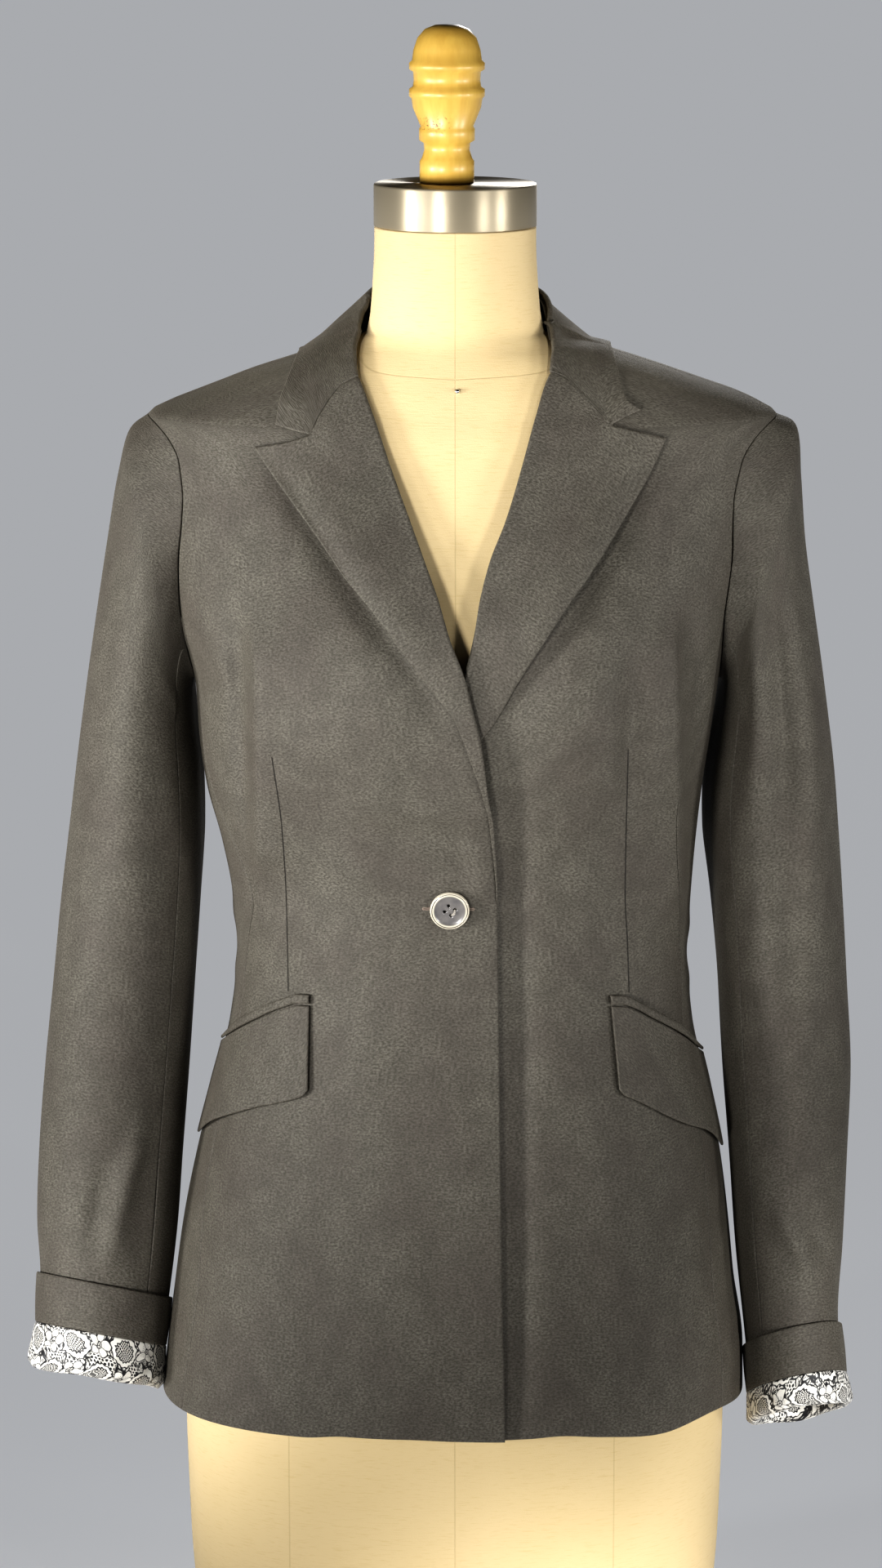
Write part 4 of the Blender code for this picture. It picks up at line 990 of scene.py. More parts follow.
# %% Lines of the lapels
# The outer edge of each lapel. Below the break the right one runs on as a narrow strip, where
# the seam along the front edge shows beside the edge itself.
LAPEL_EDGE = (
    ("up", "right_x", "right_z", "left_x", "left_z"),
    (-0.32, 23.0, 487.6, -15.0, 562.0),
    (-0.21, 21.4, 511.0, -15.0, 562.0),
    (-0.10, 18.6, 537.5, -15.0, 562.0),
    (0.00, 14.6, 560.0, -15.0, 562.0),
    (0.10, 9.5, 576.0, 3.0, 578.0),
    (0.22, 0.5, 601.0, 21.0, 598.0),
    (0.34, -15.0, 623.0, 35.0, 623.0),
    (0.46, -33.0, 649.0, 49.5, 648.0),
    (0.60, -55.0, 673.0, 65.0, 672.0),
    (0.74, -77.0, 698.0, 82.5, 697.0),
    (0.88, -98.0, 725.0, 103.5, 724.0),
    (1.00, -113.3, 747.8, 118.8, 752.6),
)
LAPEL_START = {"right": -0.30, "left": 0.0}
LAPEL_LIFT = {"right": 6.0, "left": 7.5}  # how far it springs off the front, at its outer edge
LAPEL_LIFT_UP = (0.22, 1.12)
LAPEL_REST = 0.8
LAPEL_THIN = 0.5                          # the strip's thickness where it dies into the edge
LAPEL_ROW = 3.0 / 232                     # the spacing of its rows, as a share of its height
LAPEL_TOP_ROWS = (0.985, 0.989, 0.993, 0.9965, 1.0)
LAPEL_COLUMNS = 30
GORGE = (
    ("right_x", "right_z", "left_x", "left_z"),
    (-54.7, 786.0, 53.2, 788.6),
    (-63.0, 782.0, 61.0, 785.5),
    (-69.4, 774.8, 69.5, 777.2),
    (-75.8, 765.7, 79.0, 768.8),
    (-81.7, 755.3, 87.5, 760.0),
)
PEAK_TOP = (
    GORGE[0],
    (-94.0, 751.4, 99.0, 757.4),
    (-113.3, 747.8, 118.8, 752.6),
)
COLLAR_END = (
    GORGE[0],
    (-91.0, 757.2, 96.5, 763.8),
    (-101.3, 759.5, 104.5, 766.6),
)


def end_path(table, name):
    """The gorge seam from the roll line to the notch, and on along a free edge."""
    path = [np.stack([column(t, f"{name}_x"), column(t, f"{name}_z")], -1) for t in (GORGE, table)]
    return np.concatenate(path)


def path_shares(path):
    """How far along the path each of its points lies, from 0 to 1."""
    lengths = np.linalg.norm(np.diff(path, axis=0), axis=-1)
    return np.concatenate([[0], np.cumsum(lengths)]) / lengths.sum()


def along_path(path, count):
    """The path at finer shares, which stand close together at both ends; keeps its notch."""
    knots = path_shares(path)
    length = np.linalg.norm(np.diff(path, axis=0), axis=-1).sum()
    notch = knots[len(GORGE) - 2]
    shares = shares_for(np.array([length]), count)[0]
    shares[np.argmin(np.abs(shares - notch))] = notch
    return shares, np.stack([np.interp(shares, knots, path[:, axis]) for axis in (0, 1)], -1)


def lapel_out(x, z, share, up, name):
    """How far the lapel's face stands off the rings: layers below it, and its soft spring."""
    layers = CLOTH + LAYER_GAP
    if name == "right":
        layers = LAYER_GAP + LAPEL_THIN + (CLOTH - LAPEL_THIN) * smooth(-0.1, 0.12, up)
        layers = layers + overlap_rise(x, z)
    lift = LAPEL_LIFT[name] * np.sin(math.pi * smooth(*LAPEL_LIFT_UP, up)) * share**1.3
    return layers + lift + LAPEL_REST * smooth(0.3, 0.9, up)


def rolled(points, radius, outwards, last_turn=165.0, steps=9):
    """A roll of cloth before the first column: c + r (cos t n - sin t a), t from last to 0."""
    into = unit(points[:, 2] - points[:, 0])
    normal = unit(outwards - np.sum(outwards * into, -1, keepdims=True) * into)
    radius = np.asarray(radius, float).reshape(-1, 1)
    start = points[:, 0] + into * radius
    turns = np.radians(np.linspace(last_turn, 12, steps))
    arc = [start - radius * normal + radius * (math.cos(t) * normal - math.sin(t) * into)
           for t in turns]
    ahead = np.linalg.norm(points - points[:, :1], axis=-1)
    reach = np.maximum(ahead[:, -1:], 0.01)
    moved = points + into[:, None] * (radius * (1 - ahead / reach))[..., None]
    return np.concatenate([np.stack(arc, 1), moved], 1)


# %% Two lapels
def lapel(name):
    """Straight across from the roll line to the outer edge, bent to the gorge at its top."""
    low = LAPEL_START[name]
    up = steps_between(low, LAPEL_TOP_ROWS[0], LAPEL_ROW)
    up = np.concatenate([up, LAPEL_TOP_ROWS[1:]])
    path = end_path(PEAK_TOP, name)
    share, top = along_path(path, LAPEL_COLUMNS)
    roll_z = BREAK_Z + up * (top[0, 1] - BREAK_Z)
    roll = np.stack([read(FRONT_EDGE, name, roll_z), roll_z], -1)
    edge = np.stack([read(LAPEL_EDGE, f"{name}_{axis}", up) for axis in "xz"], -1)
    straight = roll[:, None] + share[None, :, None] * (edge - roll)[:, None]
    bend = top - (top[0] + share[:, None] * (top[-1] - top[0]))
    flat = straight + (np.clip(up, 0, 1) ** 4)[:, None, None] * bend[None]
    x, z = flat[..., 0], flat[..., 1]
    out = lapel_out(x, z, share[None, :], up[:, None], name)
    angles = angle_at_x(x, z)
    points = trimmed(face(angles, z, out), ["top"])
    radius = ROLL_START + (ROLL_ROUND - ROLL_START) * smooth(0.0, 0.12, up)
    points = rolled(points, radius, outward(angles[:, 0], z[:, 0]))
    thick = np.full((len(up), 1), CLOTH)
    if name == "right":
        thick = LAPEL_THIN + (CLOTH - LAPEL_THIN) * smooth(0.0, 0.12, up)[:, None]
    thick = np.minimum(thick, 0.9 * radius[:, None] + 0.05)
    edges = {"first": THIN_ROUND, "last": EDGE_ROUND, "top": SEAM_ROUND, "bottom": THIN_ROUND}
    if name == "right":
        points = points[:, ::-1]
        edges["first"], edges["last"] = edges["last"], edges["first"]
    piece = shell(f"lapel_{name}_cloth", points, thick, edges, crepe)
    sewn(piece, points)


for side_name in SIDES:
    lapel(side_name)


# %% The collar's fall
COLLAR = (
    ("along", "fold_x", "fold_y", "fold_z", "edge_x", "edge_y", "edge_z"),
    (0.00, 0.0, 59.0, 834.0, 0.0, 76.5, 790.5),
    (0.18, 27.0, 54.0, 833.0, 44.0, 71.5, 790.5),
    (0.34, 44.5, 38.0, 830.5, 75.0, 55.0, 790.0),
    (0.50, 51.2, 14.0, 825.0, 88.5, 24.0, 793.0),
    (0.64, 54.0, -10.0, 812.5, 90.0, -8.0, 796.0),
    (0.80, 55.4, -34.0, 800.5, 94.0, -41.0, 787.5),
    (0.90, 55.0, -48.0, 793.5, 98.5, -59.5, 775.5),
)
COLLAR_SHIFT = -1.4
COLLAR_CLOTH, STAND_CLOTH = 1.6, 1.4
COLLAR_OVER = 2.6                         # least room under the fall's face
COLLAR_CROWN = 0.8                        # how far the fall swells between fold and edge
COLLAR_ROLL, COLLAR_ROLL_LESS = 1.9, 0.3  # its fold's radius, and what it loses at the gorge
STAND_END, STAND_BELOW_FOLD = 0.70, 3.4
STAND_ROWS, STAND_COLUMNS = 70, 12
COLLAR_ROWS, COLLAR_COLUMNS = 84, 24
COLLAR_END_ROWS = (0.985, 0.99, 0.994, 0.9975, 1.0)


def beyond_ring(points):
    """Under 0 inside the garment's rings, 0 on them and over 0 outside."""
    x, y, z = (points[..., axis] for axis in range(3))
    width, depth = half_sizes(TORSO, x < 0, y < 0, z)
    power = read(TORSO, "square", z)
    return (np.abs(x) / width) ** power + (np.abs(y) / depth) ** power - 1


def height_over(points):
    """About how far points lie outside the garment's rings, and the way out."""
    steps = 0.5 * np.eye(3)
    slope = np.stack([beyond_ring(points + s) - beyond_ring(points - s) for s in steps], -1)
    steep = np.linalg.norm(slope, axis=-1)
    return beyond_ring(points) / steep, slope / steep[..., None]


def lifted_clear(points, least):
    """The points, pushed out wherever they lie closer to the body than they should."""
    for _ in range(3):
        height, way = height_over(points)
        points = points + np.clip(least - height, 0, None)[..., None] * way
    return points


def collar_half(name):
    """The fall's grid from the centre back to the gorge: rows along, columns outwards."""
    side = SIDES[name]
    share, end = along_path(end_path(COLLAR_END, name), COLLAR_COLUMNS)
    out = lapel_out(end[:, 0], end[:, 1], share, 1.0, name)
    end_angles = angle_at_x(end[:, 0], end[:, 1])
    end_points = face(end_angles, end[:, 1], out)
    knots = np.append(column(COLLAR, "along"), 1.0)
    lines = []
    for line, last in (("fold", end_points[0]), ("edge", end_points[-1])):
        table = np.stack([column(COLLAR, f"{line}_{axis}") for axis in "xyz"], -1)
        table[:, 0] = side * table[:, 0] + COLLAR_SHIFT * knots[:-1]
        lines.append(np.concatenate([table, last[None]]))
    along = np.linspace(0, COLLAR_END_ROWS[0], COLLAR_ROWS)
    along = np.concatenate([along, COLLAR_END_ROWS[1:]])
    fold, edge = (through(line[:, None], knots, along)[:, 0] for line in lines)
    straight = fold[:, None] + share[None, :, None] * (edge - fold)[:, None]
    bend = end_points - (end_points[0] + share[:, None] * (end_points[-1] - end_points[0]))
    points = straight + (smooth(0.72, 1.0, along) ** 2)[:, None, None] * bend[None]
    crown = COLLAR_CROWN * np.sin(math.pi * share)[None, :]
    points[..., 2] += crown * (1 - smooth(0.6, 0.95, along))[:, None]
    clear = lifted_clear(points, COLLAR_OVER)
    settle = smooth(0.93, 1.0, along)[:, None, None]
    points = clear + settle * (points - clear)
    _, way = height_over(points[:, 0])
    radius = COLLAR_ROLL - COLLAR_ROLL_LESS * smooth(0.9, 1.0, along)
    return rolled(points, radius, way)


def collar():
    """Both halves of the fall as one strip, from gorge to gorge."""
    right, left = collar_half("right"), collar_half("left")
    points = np.concatenate([left[::-1], right[1:]])
    points = trimmed(points, ["bottom", "top"])
    edges = {"first": THIN_ROUND, "last": EDGE_ROUND, "top": SEAM_ROUND, "bottom": SEAM_ROUND}
    piece = shell("collar_cloth", points, COLLAR_CLOTH, edges, crepe)
    sewn(piece, points)


collar()


# %% The collar's stand
def collar_stand():
    """A band that stands on the neckline and reaches up under the collar's fold."""
    along = np.linspace(0, STAND_END, STAND_ROWS)
    halves = []
    for name, side in SIDES.items():
        fold = np.stack([read(COLLAR, f"fold_{axis}", along) for axis in "xyz"], -1)
        fold[:, 0] = side * fold[:, 0] + COLLAR_SHIFT * along
        fold[:, 2] -= STAND_BELOW_FOLD
        front_end = angle_at_x(read(FRONT_EDGE, name, NECK_Z), np.array(NECK_Z))
        turn = side * math.pi + (front_end - side * math.pi) * along / STAND_END
        foot = skin(turn, NECK_Z)
        foot[:, 2] += 2 * LAYER_GAP
        rise = np.linspace(0, 1, STAND_COLUMNS)
        halves.append(foot[:, None] + rise[None, :, None] * (fold - foot)[:, None])
    right, left = halves
    points = np.concatenate([right[::-1], left[1:]])
    edges = {"first": SEAM_ROUND, "last": LINING_ROUND, "top": SEAM_ROUND, "bottom": SEAM_ROUND}
    piece = shell("collar_stand_cloth", points, STAND_CLOTH, edges, crepe)
    sewn(piece, points)


collar_stand()


# %% [markdown]
# ## Sleeves
# A sleeve is a stack of tilted ovals. Each is given by its point nearest the body, its point
# furthest from it, its depth and its lean, and the first one is the armhole seam itself. The
# rings run smoothly into each other (a curve through every ring, point by point), so the
# sleeve bends at the elbow as the arm would. Two seams cut the tube into an upper and an under
# sleeve. Ridges and creases are laid on by their turn round the sleeve and their level.

# %% The sleeves' rings and folds
SLEEVE_COLUMNS = ("in_x", "in_z", "out_x", "out_z", "y", "depth", "lean")
SLEEVES = {
    "right": (
        SLEEVE_COLUMNS,
        (152.7, 603, 189.5, 748, 4, 53.0, 0),
        (153.4, 601, 196.0, 723, 6, 56.0, 0),
        (153.8, 598, 202.5, 686, 8, 57.5, 0),
        (153.8, 593, 208.0, 652, 9, 58.0, 0),
        (153.4, 585, 213.0, 620, 10, 58.0, 0),
        (152.5, 573, 218.0, 586, 10, 57.0, 0),
        (150.5, 553, 222.5, 553, 11, 56.0, 0),
        (149.0, 515, 227.3, 515, 11, 53.0, 0),
        (150.7, 470, 233.0, 470, 10, 50.0, 0),
        (154.2, 420, 238.2, 420, 8, 47.5, 2),
        (157.8, 370, 243.5, 370, 5, 45.5, 5),
        (162.0, 318, 247.5, 320, 0, 43.5, 10),
        (165.5, 272, 249.0, 276, -6, 42.0, 15),
    ),
    "left": (
        SLEEVE_COLUMNS,
        (155.2, 603, 198.5, 750, 4, 53.0, 0),
        (156.4, 601, 201.0, 723, 6, 56.0, 0),
        (156.8, 598, 204.0, 686, 8, 57.5, 0),
        (156.6, 593, 208.8, 652, 9, 58.0, 0),
        (156.0, 585, 213.7, 620, 10, 58.0, 0),
        (154.3, 573, 218.5, 586, 10, 57.5, 0),
        (151.2, 553, 222.8, 553, 11, 57.0, 0),
        (149.6, 515, 226.2, 515, 11, 55.0, 0),
        (153.3, 470, 229.5, 470, 10, 53.0, 0),
        (156.2, 420, 232.6, 420, 8, 51.0, 3),
        (159.2, 370, 235.4, 370, 5, 49.5, 8),
        (163.4, 318, 233.6, 318, -2, 48.0, 15),
        (167.5, 262, 231.3, 264, -9, 46.5, 22),
    ),
}
CUFFS = {
    "right": (
        SLEEVE_COLUMNS,
        (168.5, 229, 249.5, 245, -11, 41.0, 17),
        (172.5, 200, 250.5, 215, -14, 40.0, 17),
        (176.0, 174, 254.0, 188, -17, 40.0, 17),
    ),
    "left": (
        SLEEVE_COLUMNS,
        (171.8, 201, 231.0, 214, -17, 45.0, 24),
        (174.5, 173, 234.0, 185, -21, 44.0, 24),
        (177.0, 155, 236.5, 166, -24, 43.0, 24),
    ),
}
SLEEVE_END_ROWS = ((0.0, -2.3), (0.9, -2.3), (1.8, -2.6))

# Turns are degrees round the sleeve: 0 is its outside, 90 its front and 180 beside the body.
SLEEVE_CREASES = (
    ("side", "turn", "z", "turn_end", "z_end", "height", "reach"),
    (RIGHT, 80, 712, 80, 418, 2.2, 22),
    (RIGHT, 118, 350, 94, 246, 3.2, 8),
    (RIGHT, 94, 326, 80, 250, -2.8, 10),
    (RIGHT, 128, 320, 120, 246, -1.4, 9),
    (RIGHT, 130, 330, 96, 300, 1.1, 8),
    (RIGHT, 60, 520, 118, 470, 0.9, 12),
    (RIGHT, 40, 446, 88, 404, 0.8, 11),
    (RIGHT, 20, 700, 44, 560, 0.9, 12),
    (RIGHT, 118, 640, 150, 590, 1.2, 10),
    (RIGHT, 214, 690, 214, 450, 17.0, 17),
    (RIGHT, 205, 560, 262, 520, 1.6, 12),
    (RIGHT, 196, 520, 250, 486, 1.4, 10),
    (RIGHT, 214, 488, 268, 456, 1.2, 11),
    (RIGHT, 300, 690, 290, 520, 1.4, 14),
    (RIGHT, 320, 420, 296, 280, 1.2, 12),
    (RIGHT, 230, 340, 276, 280, 1.3, 10),
    (LEFT, 112, 716, 110, 500, 4.2, 11),
    (LEFT, 86, 716, 84, 500, -7.5, 14),
    (LEFT, 84, 590, 88, 380, -5.5, 14),
    (LEFT, 54, 660, 56, 410, 3.2, 14),
    (LEFT, 104, 470, 78, 290, 1.8, 16),
    (LEFT, 114, 288, 68, 232, 3.0, 8),
    (LEFT, 86, 284, 44, 244, -3.6, 10),
    (LEFT, 134, 296, 92, 262, 1.2, 8),
    (LEFT, 54, 540, 112, 496, 0.9, 12),
    (LEFT, 34, 420, 84, 376, 0.8, 11),
    (LEFT, 16, 704, 40, 570, 0.9, 12),
    (LEFT, 120, 650, 152, 596, 1.2, 10),
    (LEFT, 212, 685, 212, 420, 19.0, 18),
    (LEFT, 204, 556, 258, 512, 1.5, 12),
    (LEFT, 192, 512, 252, 480, 1.3, 10),
    (LEFT, 216, 476, 264, 448, 1.2, 11),
    (LEFT, 298, 684, 286, 510, 1.3, 14),
    (LEFT, 318, 400, 300, 262, 1.2, 12),
    (LEFT, 232, 330, 280, 262, 1.2, 10),
)
SEAM_FRONT, SEAM_BACK = 135.0, 240.0
SLEEVE_PARTS = (
    # name, the turns where it starts and ends, columns
    ("upper", SEAM_BACK - 360, SEAM_FRONT, 90),
    ("under", SEAM_FRONT, SEAM_BACK, 42),
)
SLEEVE_RADIUS = 50                        # millimetres, a mean one, to space the columns by


def ring_points(row, side, outside, turns):
    """One ring of a sleeve: its nearest and furthest points, its depth and its lean."""
    in_x, in_z, out_x, out_z, y, depth, lean = row
    near, far = np.array([side * in_x, y, in_z]), np.array([side * out_x, y, out_z])
    half = (far - near) / 2
    half = half * (1 + outside / np.linalg.norm(half))
    lean = math.radians(lean)
    front = (depth + outside) * np.array([0, -math.cos(lean), math.sin(lean)])
    return (near + far) / 2 + np.cos(turns)[:, None] * half + np.sin(turns)[:, None] * front


def cuff_ring(name, down, outside, turns):
    """A ring of the turned-up cuff: 0 is its top edge, 1 the lining's seam, 2 the fold."""
    rows = np.array(CUFFS[name][1:], float)
    at = int(min(down, 1.999))
    row = rows[at] + (down - at) * (rows[at + 1] - rows[at])
    return ring_points(row, SIDES[name], outside, turns)


def folded(points, side, turns):
    """A sleeve's grid with its ridges and creases standing out of it."""
    middle = points.mean(axis=1, keepdims=True)
    z, turn = np.broadcast_arrays(middle[..., 2], np.degrees(turns)[None, :] % 360)
    out = creased([row[1:] for row in SLEEVE_CREASES[1:] if row[0] == side], turn, z)
    return points + out[..., None] * unit(points - middle)


def sleeve_grid(name, turns):
    """Rings from the armhole to inside the cuff, with fine rows drawn smoothly through them."""
    side = SIDES[name]
    armhole = face(armhole_angle(turns, side), armhole_z(turns))
    rings = [armhole] + [ring_points(row, side, 0.0, turns) for row in SLEEVES[name][1:]]
    rings += [cuff_ring(name, down, outside, turns) for down, outside in SLEEVE_END_ROWS]
    rings = np.array(rings)
    places = run(rings, 0).mean(axis=1)
    at = np.concatenate([NEAR_EDGE[:-1], steps_between(NEAR_EDGE[-1], places[-1])])
    return through(rings, places, at)


# %% Two sleeves, each an upper and an under piece
def sleeve(name):
    """The creased tube of rings, cut along its two seams."""
    side = SIDES[name]
    edges = {"first": SEAM_ROUND, "last": SEAM_ROUND, "top": SEAM_ROUND, "bottom": EDGE_ROUND}
    for part, start, end, count in SLEEVE_PARTS:
        spread = math.radians(end - start)
        shares = shares_for(np.array([spread * SLEEVE_RADIUS]), count)[0]
        turns = np.radians(start) + spread * shares
        points = folded(sleeve_grid(name, turns), side, turns)
        points = trimmed(points, ["first", "last", "bottom"])
        if name == "right":
            points = points[:, ::-1]
        piece = shell(f"{part}_sleeve_{name}_cloth", points[::-1, ::-1], SLEEVE_CLOTH, edges, crepe)
        sewn(piece, points)


for side_name in SIDES:
    sleeve(side_name)


# %% [markdown]
# ## Turned-up cuffs
# The sleeve's end is turned up, so its dark band shows first and its printed lining hangs out
# below it. The lining is thin and was never pressed: it crumples all round, in short uprights
# of unequal depth, and rolls back into the sleeve along an uneven line.

# %% Bands and linings
BAND_ROWS = ((0.0, 0.0), (0.5, 0.4), (1.0, 0.1))
LINING_ROWS = ((1.0, 0.0), (1.5, 1.2), (1.85, 1.3), (2.0, -2.6), (1.9, -5.7), (1.5, -6.0))
LINING_LOOSE = (0.0, 0.9, 1.0, 0.8, 0.3, 0.0)
LINING_SEEDS = {"right": 11, "left": 23}
LINING_CRUMPLE, LINING_SAG = 1.1, 1.6     # millimetres, of its uprights and of its lower line
BAND_COLUMNS, LINING_COLUMNS, LINING_ROW = 150, 440, 0.8


def wave_round(turns, seed, most):
    """An uneven line that closes on itself: whole waves round the cuff, from -1 to 1."""
    rng = np.random.default_rng(seed)
    total = np.zeros(np.shape(turns))
    for count in range(1, most + 1):
        total = total + rng.uniform(0.4, 1.0) * np.sin(count * turns + rng.uniform(0, 2 * math.pi))
    return total / (0.6 * most)


def crumple(turns, at, seed):
    """Uprights of unequal depth that lean and fade on the way down, in millimetres."""
    rng = np.random.default_rng(seed + 1)
    total = np.zeros(np.broadcast(turns, at).shape)
    for _ in range(16):
        middle, lean = rng.uniform(0, 2 * math.pi), rng.uniform(-0.012, 0.012)
        reach, height = rng.uniform(0.045, 0.12), rng.uniform(-1.0, 1.0)
        away = np.angle(np.exp(1j * (turns - middle - lean * at))) / reach
        total = total + height * np.exp(-(away**2)) * (0.5 + 0.5 * np.sin(at / 5 + middle))
    fine = 0.22 * np.sin(31 * turns + 3 * np.sin(2 * turns + seed) + at / 4)
    return LINING_CRUMPLE * (total + fine)


# The print's repeat, in millimetres: flowers and scroll rings stand in staggered rows.
FLOWER_REPEAT, RING_REPEAT, RING_SHIFT = (31.0, 37.0, 1.0), (31.0, 37.0, 1.0), (15.5, 1.0, 0.0)
NET_REPEAT, FINE_REPEAT, LEAF_SIZE = (2.2, 3.8, 1.0), (1.5, 2.1, 1.0), (3.4, 5.2)
PETALS, PETAL_REACH, RING_RADIUS = 5.0, 7.4, 7.2


def from_nearest(add, places, repeat):
    """The way from the nearest point of a repeat, whose rows are staggered, to this place."""
    ways = []
    for shift in (0.0, 0.5):
        cell = add("VectorMath", "DIVIDE", places, repeat)
        cell = add("VectorMath", "ADD", cell, (shift, shift, 0.0))
        inside = add("VectorMath", "FRACTION", cell)
        inside = add("VectorMath", "SUBTRACT", inside, (0.5, 0.5, 0.0))
        ways.append(add("VectorMath", "MULTIPLY", inside, repeat))
    far, near = (add("VectorMath", "LENGTH", way) for way in ways)
    return add("Mix", {"data_type": "VECTOR"}, add("Math", "GREATER_THAN", far, near), *ways)


def round_motif(add, places, repeat):
    """The turn and the distance of a place, seen from the middle of the nearest motif."""
    away = from_nearest(add, places, repeat)
    parts = add("SeparateXYZ", None, away).node.outputs
    return add("Math", "ARCTAN2", parts[1], parts[0]), add("VectorMath", "LENGTH", away)


def blend(add, share, first, second):
    """first + share * (second - first)."""
    return add("Math", "MULTIPLY_ADD", share, add("Math", "SUBTRACT", second, first), first)


def net(add, places, repeat, dark, clear):
    """A net: 0 in its holes and 1 in its threads."""
    away = add("VectorMath", "LENGTH", from_nearest(add, places, repeat))
    return add("MapRange", SOFT_STEP, away, dark, clear)


def lace(name):
    """White lace printed on black: flowers and scroll rings on a ground of net and leaves."""
    made, shader, add = new_material(name, Roughness=0.5, Sheen_Weight=0.15)
    flat = cut_places(add, 1.0, 1.0)
    drift = add("TexNoise", None, flat, 0.11, 1.0, out="Color")
    drift = add("VectorMath", "SUBTRACT", drift, (0.5, 0.5, 0.5))
    places = add("VectorMath", "MULTIPLY_ADD", drift, (7.0, 7.0, 0.0), flat)

    cells = add("VectorMath", "DIVIDE", places, (*LEAF_SIZE, 1.0))
    cells = add("TexVoronoi", {"feature": "DISTANCE_TO_EDGE"}, Vector=cells, Scale=1.0)
    veins = add("VectorMath", "MULTIPLY", places, (1.5, 0.45, 1.0))
    veins = add("TexNoise", None, veins, 1.0, 2.0, 0.6)
    leaves = add("Math", "MULTIPLY", add("MapRange", SOFT_STEP, cells, 0.07, 0.15),
                 add("MapRange", SOFT_STEP, veins, 0.42, 0.50))
    leafy = add("MapRange", SOFT_STEP, add("TexNoise", None, places, 0.085, 1.0), 0.47, 0.50)
    white = blend(add, leafy, net(add, places, NET_REPEAT, 0.60, 0.92), leaves)

    turn, radius = round_motif(add, add("VectorMath", "ADD", places, RING_SHIFT), RING_REPEAT)
    scallop = add("Math", "COSINE", add("Math", "MULTIPLY", turn, 15.0))
    off_ring = add("Math", "SUBTRACT", radius, RING_RADIUS)
    off_ring = add("Math", "ABSOLUTE", add("Math", "MULTIPLY_ADD", scallop, 0.35, off_ring))
    inside = add("Math", "LESS_THAN", radius, RING_RADIUS)
    white = blend(add, inside, white, net(add, places, FINE_REPEAT, 0.42, 0.66))
    outline = add("Math", "SUBTRACT", 1.0, add("MapRange", SOFT_STEP, off_ring, 1.75, 2.0))
    band = add("Math", "SUBTRACT", 1.0, add("MapRange", SOFT_STEP, off_ring, 0.95, 1.2))
    white = add("Math", "MAXIMUM", band, blend(add, outline, white, 0.0))

    turn, radius = round_motif(add, places, FLOWER_REPEAT)
    lobe = add("Math", "COSINE", add("Math", "MULTIPLY", turn, PETALS / 2))
    lobe = add("Math", "ABSOLUTE", lobe)
    reach = add("Math", "MULTIPLY_ADD", lobe, 0.45 * PETAL_REACH, 0.55 * PETAL_REACH)
    within = add("Math", "SUBTRACT", reach, radius)
    split = add("MapRange", SOFT_STEP, add("Math", "MULTIPLY", lobe, radius), 0.25, 0.6)
    petal = add("Math", "MULTIPLY", split, add("MapRange", SOFT_STEP, within, 0.1, 0.5))
    rays = add("Math", "COSINE", add("Math", "MULTIPLY", turn, 25.0))
    rays = add("Math", "MULTIPLY", add("MapRange", SOFT_STEP, rays, 0.75, 0.95),
               add("MapRange", SOFT_STEP, radius, 4.4, 4.0))
    petal = add("Math", "MULTIPLY", petal, add("Math", "SUBTRACT", 1.0, rays))
    heart = add("Math", "ABSOLUTE", add("Math", "SUBTRACT", radius, 1.7))
    petal = add("Math", "MULTIPLY", petal, add("MapRange", SOFT_STEP, heart, 0.2, 0.45))
    white = blend(add, add("MapRange", SOFT_STEP, within, -0.45, -0.3), white, petal)

    thread = add("VectorMath", "MULTIPLY", flat, (3.2, 3.2, 1.0))
    thread = add("TexNoise", None, thread, 1.0, 1.0)
    colour = add("Mix", COLOURS, thread, linear("D2CFC7"), linear("F0EDE5"))
    colour = add("Mix", COLOURS, white, linear("121013"), colour)
    height = add("Math", "ADD", white, thread)
    normal = add("Bump", Height=height, Distance=0.00008, Strength=0.5)
    feed(shader, Base_Color=colour, Normal=normal)
    return made


lace_print = lace("lace_print_lining")
print("lace repeats every", FLOWER_REPEAT[0], "x", FLOWER_REPEAT[1], "mm")


def cuff(name):
    """Rings drawn smoothly through a few rows; the lining's also crumple and sag."""
    turns = np.linspace(0, 2 * math.pi, BAND_COLUMNS, endpoint=False)
    band = np.array([cuff_ring(name, down, out, turns) for down, out in BAND_ROWS])
    places = run(band, 0).mean(axis=1)
    at = np.concatenate([NEAR_EDGE[:-1], steps_between(NEAR_EDGE[-1], places[-1] - NEAR_EDGE[-1]),
                         places[-1] - NEAR_EDGE[-2::-1]])
    band = trimmed(through(band, places, at), ["top"])
    band = band[::-1] if name == "right" else band[::-1, ::-1]
    piece = shell(f"cuff_band_{name}_cloth", band, SLEEVE_CLOTH,
                  {"top": EDGE_ROUND, "bottom": SEAM_ROUND}, crepe, around=True)
    sewn(piece, band, around=True)

    turns = np.linspace(0, 2 * math.pi, LINING_COLUMNS, endpoint=False)
    lining = np.array([cuff_ring(name, down, out, turns) for down, out in LINING_ROWS])
    places = run(lining, 0).mean(axis=1)
    at = steps_between(0, places[-1], LINING_ROW)
    loose = np.interp(at, places, LINING_LOOSE)[:, None]
    lining = through(lining, places, at)
    middle = lining.mean(axis=1, keepdims=True)
    rumple = crumple(turns, at[:, None], LINING_SEEDS[name])
    lining = lining + (loose * rumple)[..., None] * unit(lining - middle)
    lining[..., 2] -= loose * LINING_SAG * wave_round(turns, LINING_SEEDS[name], 5)
    lining = lining[::-1] if name == "right" else lining[::-1, ::-1]
    piece = shell(f"cuff_lining_{name}_cloth", lining, LINING_CLOTH,
                  {"top": SEAM_ROUND, "bottom": LINING_ROUND}, lace_print, around=True)
    sewn(piece, lining, around=True)


for side_name in SIDES:
    cuff(side_name)


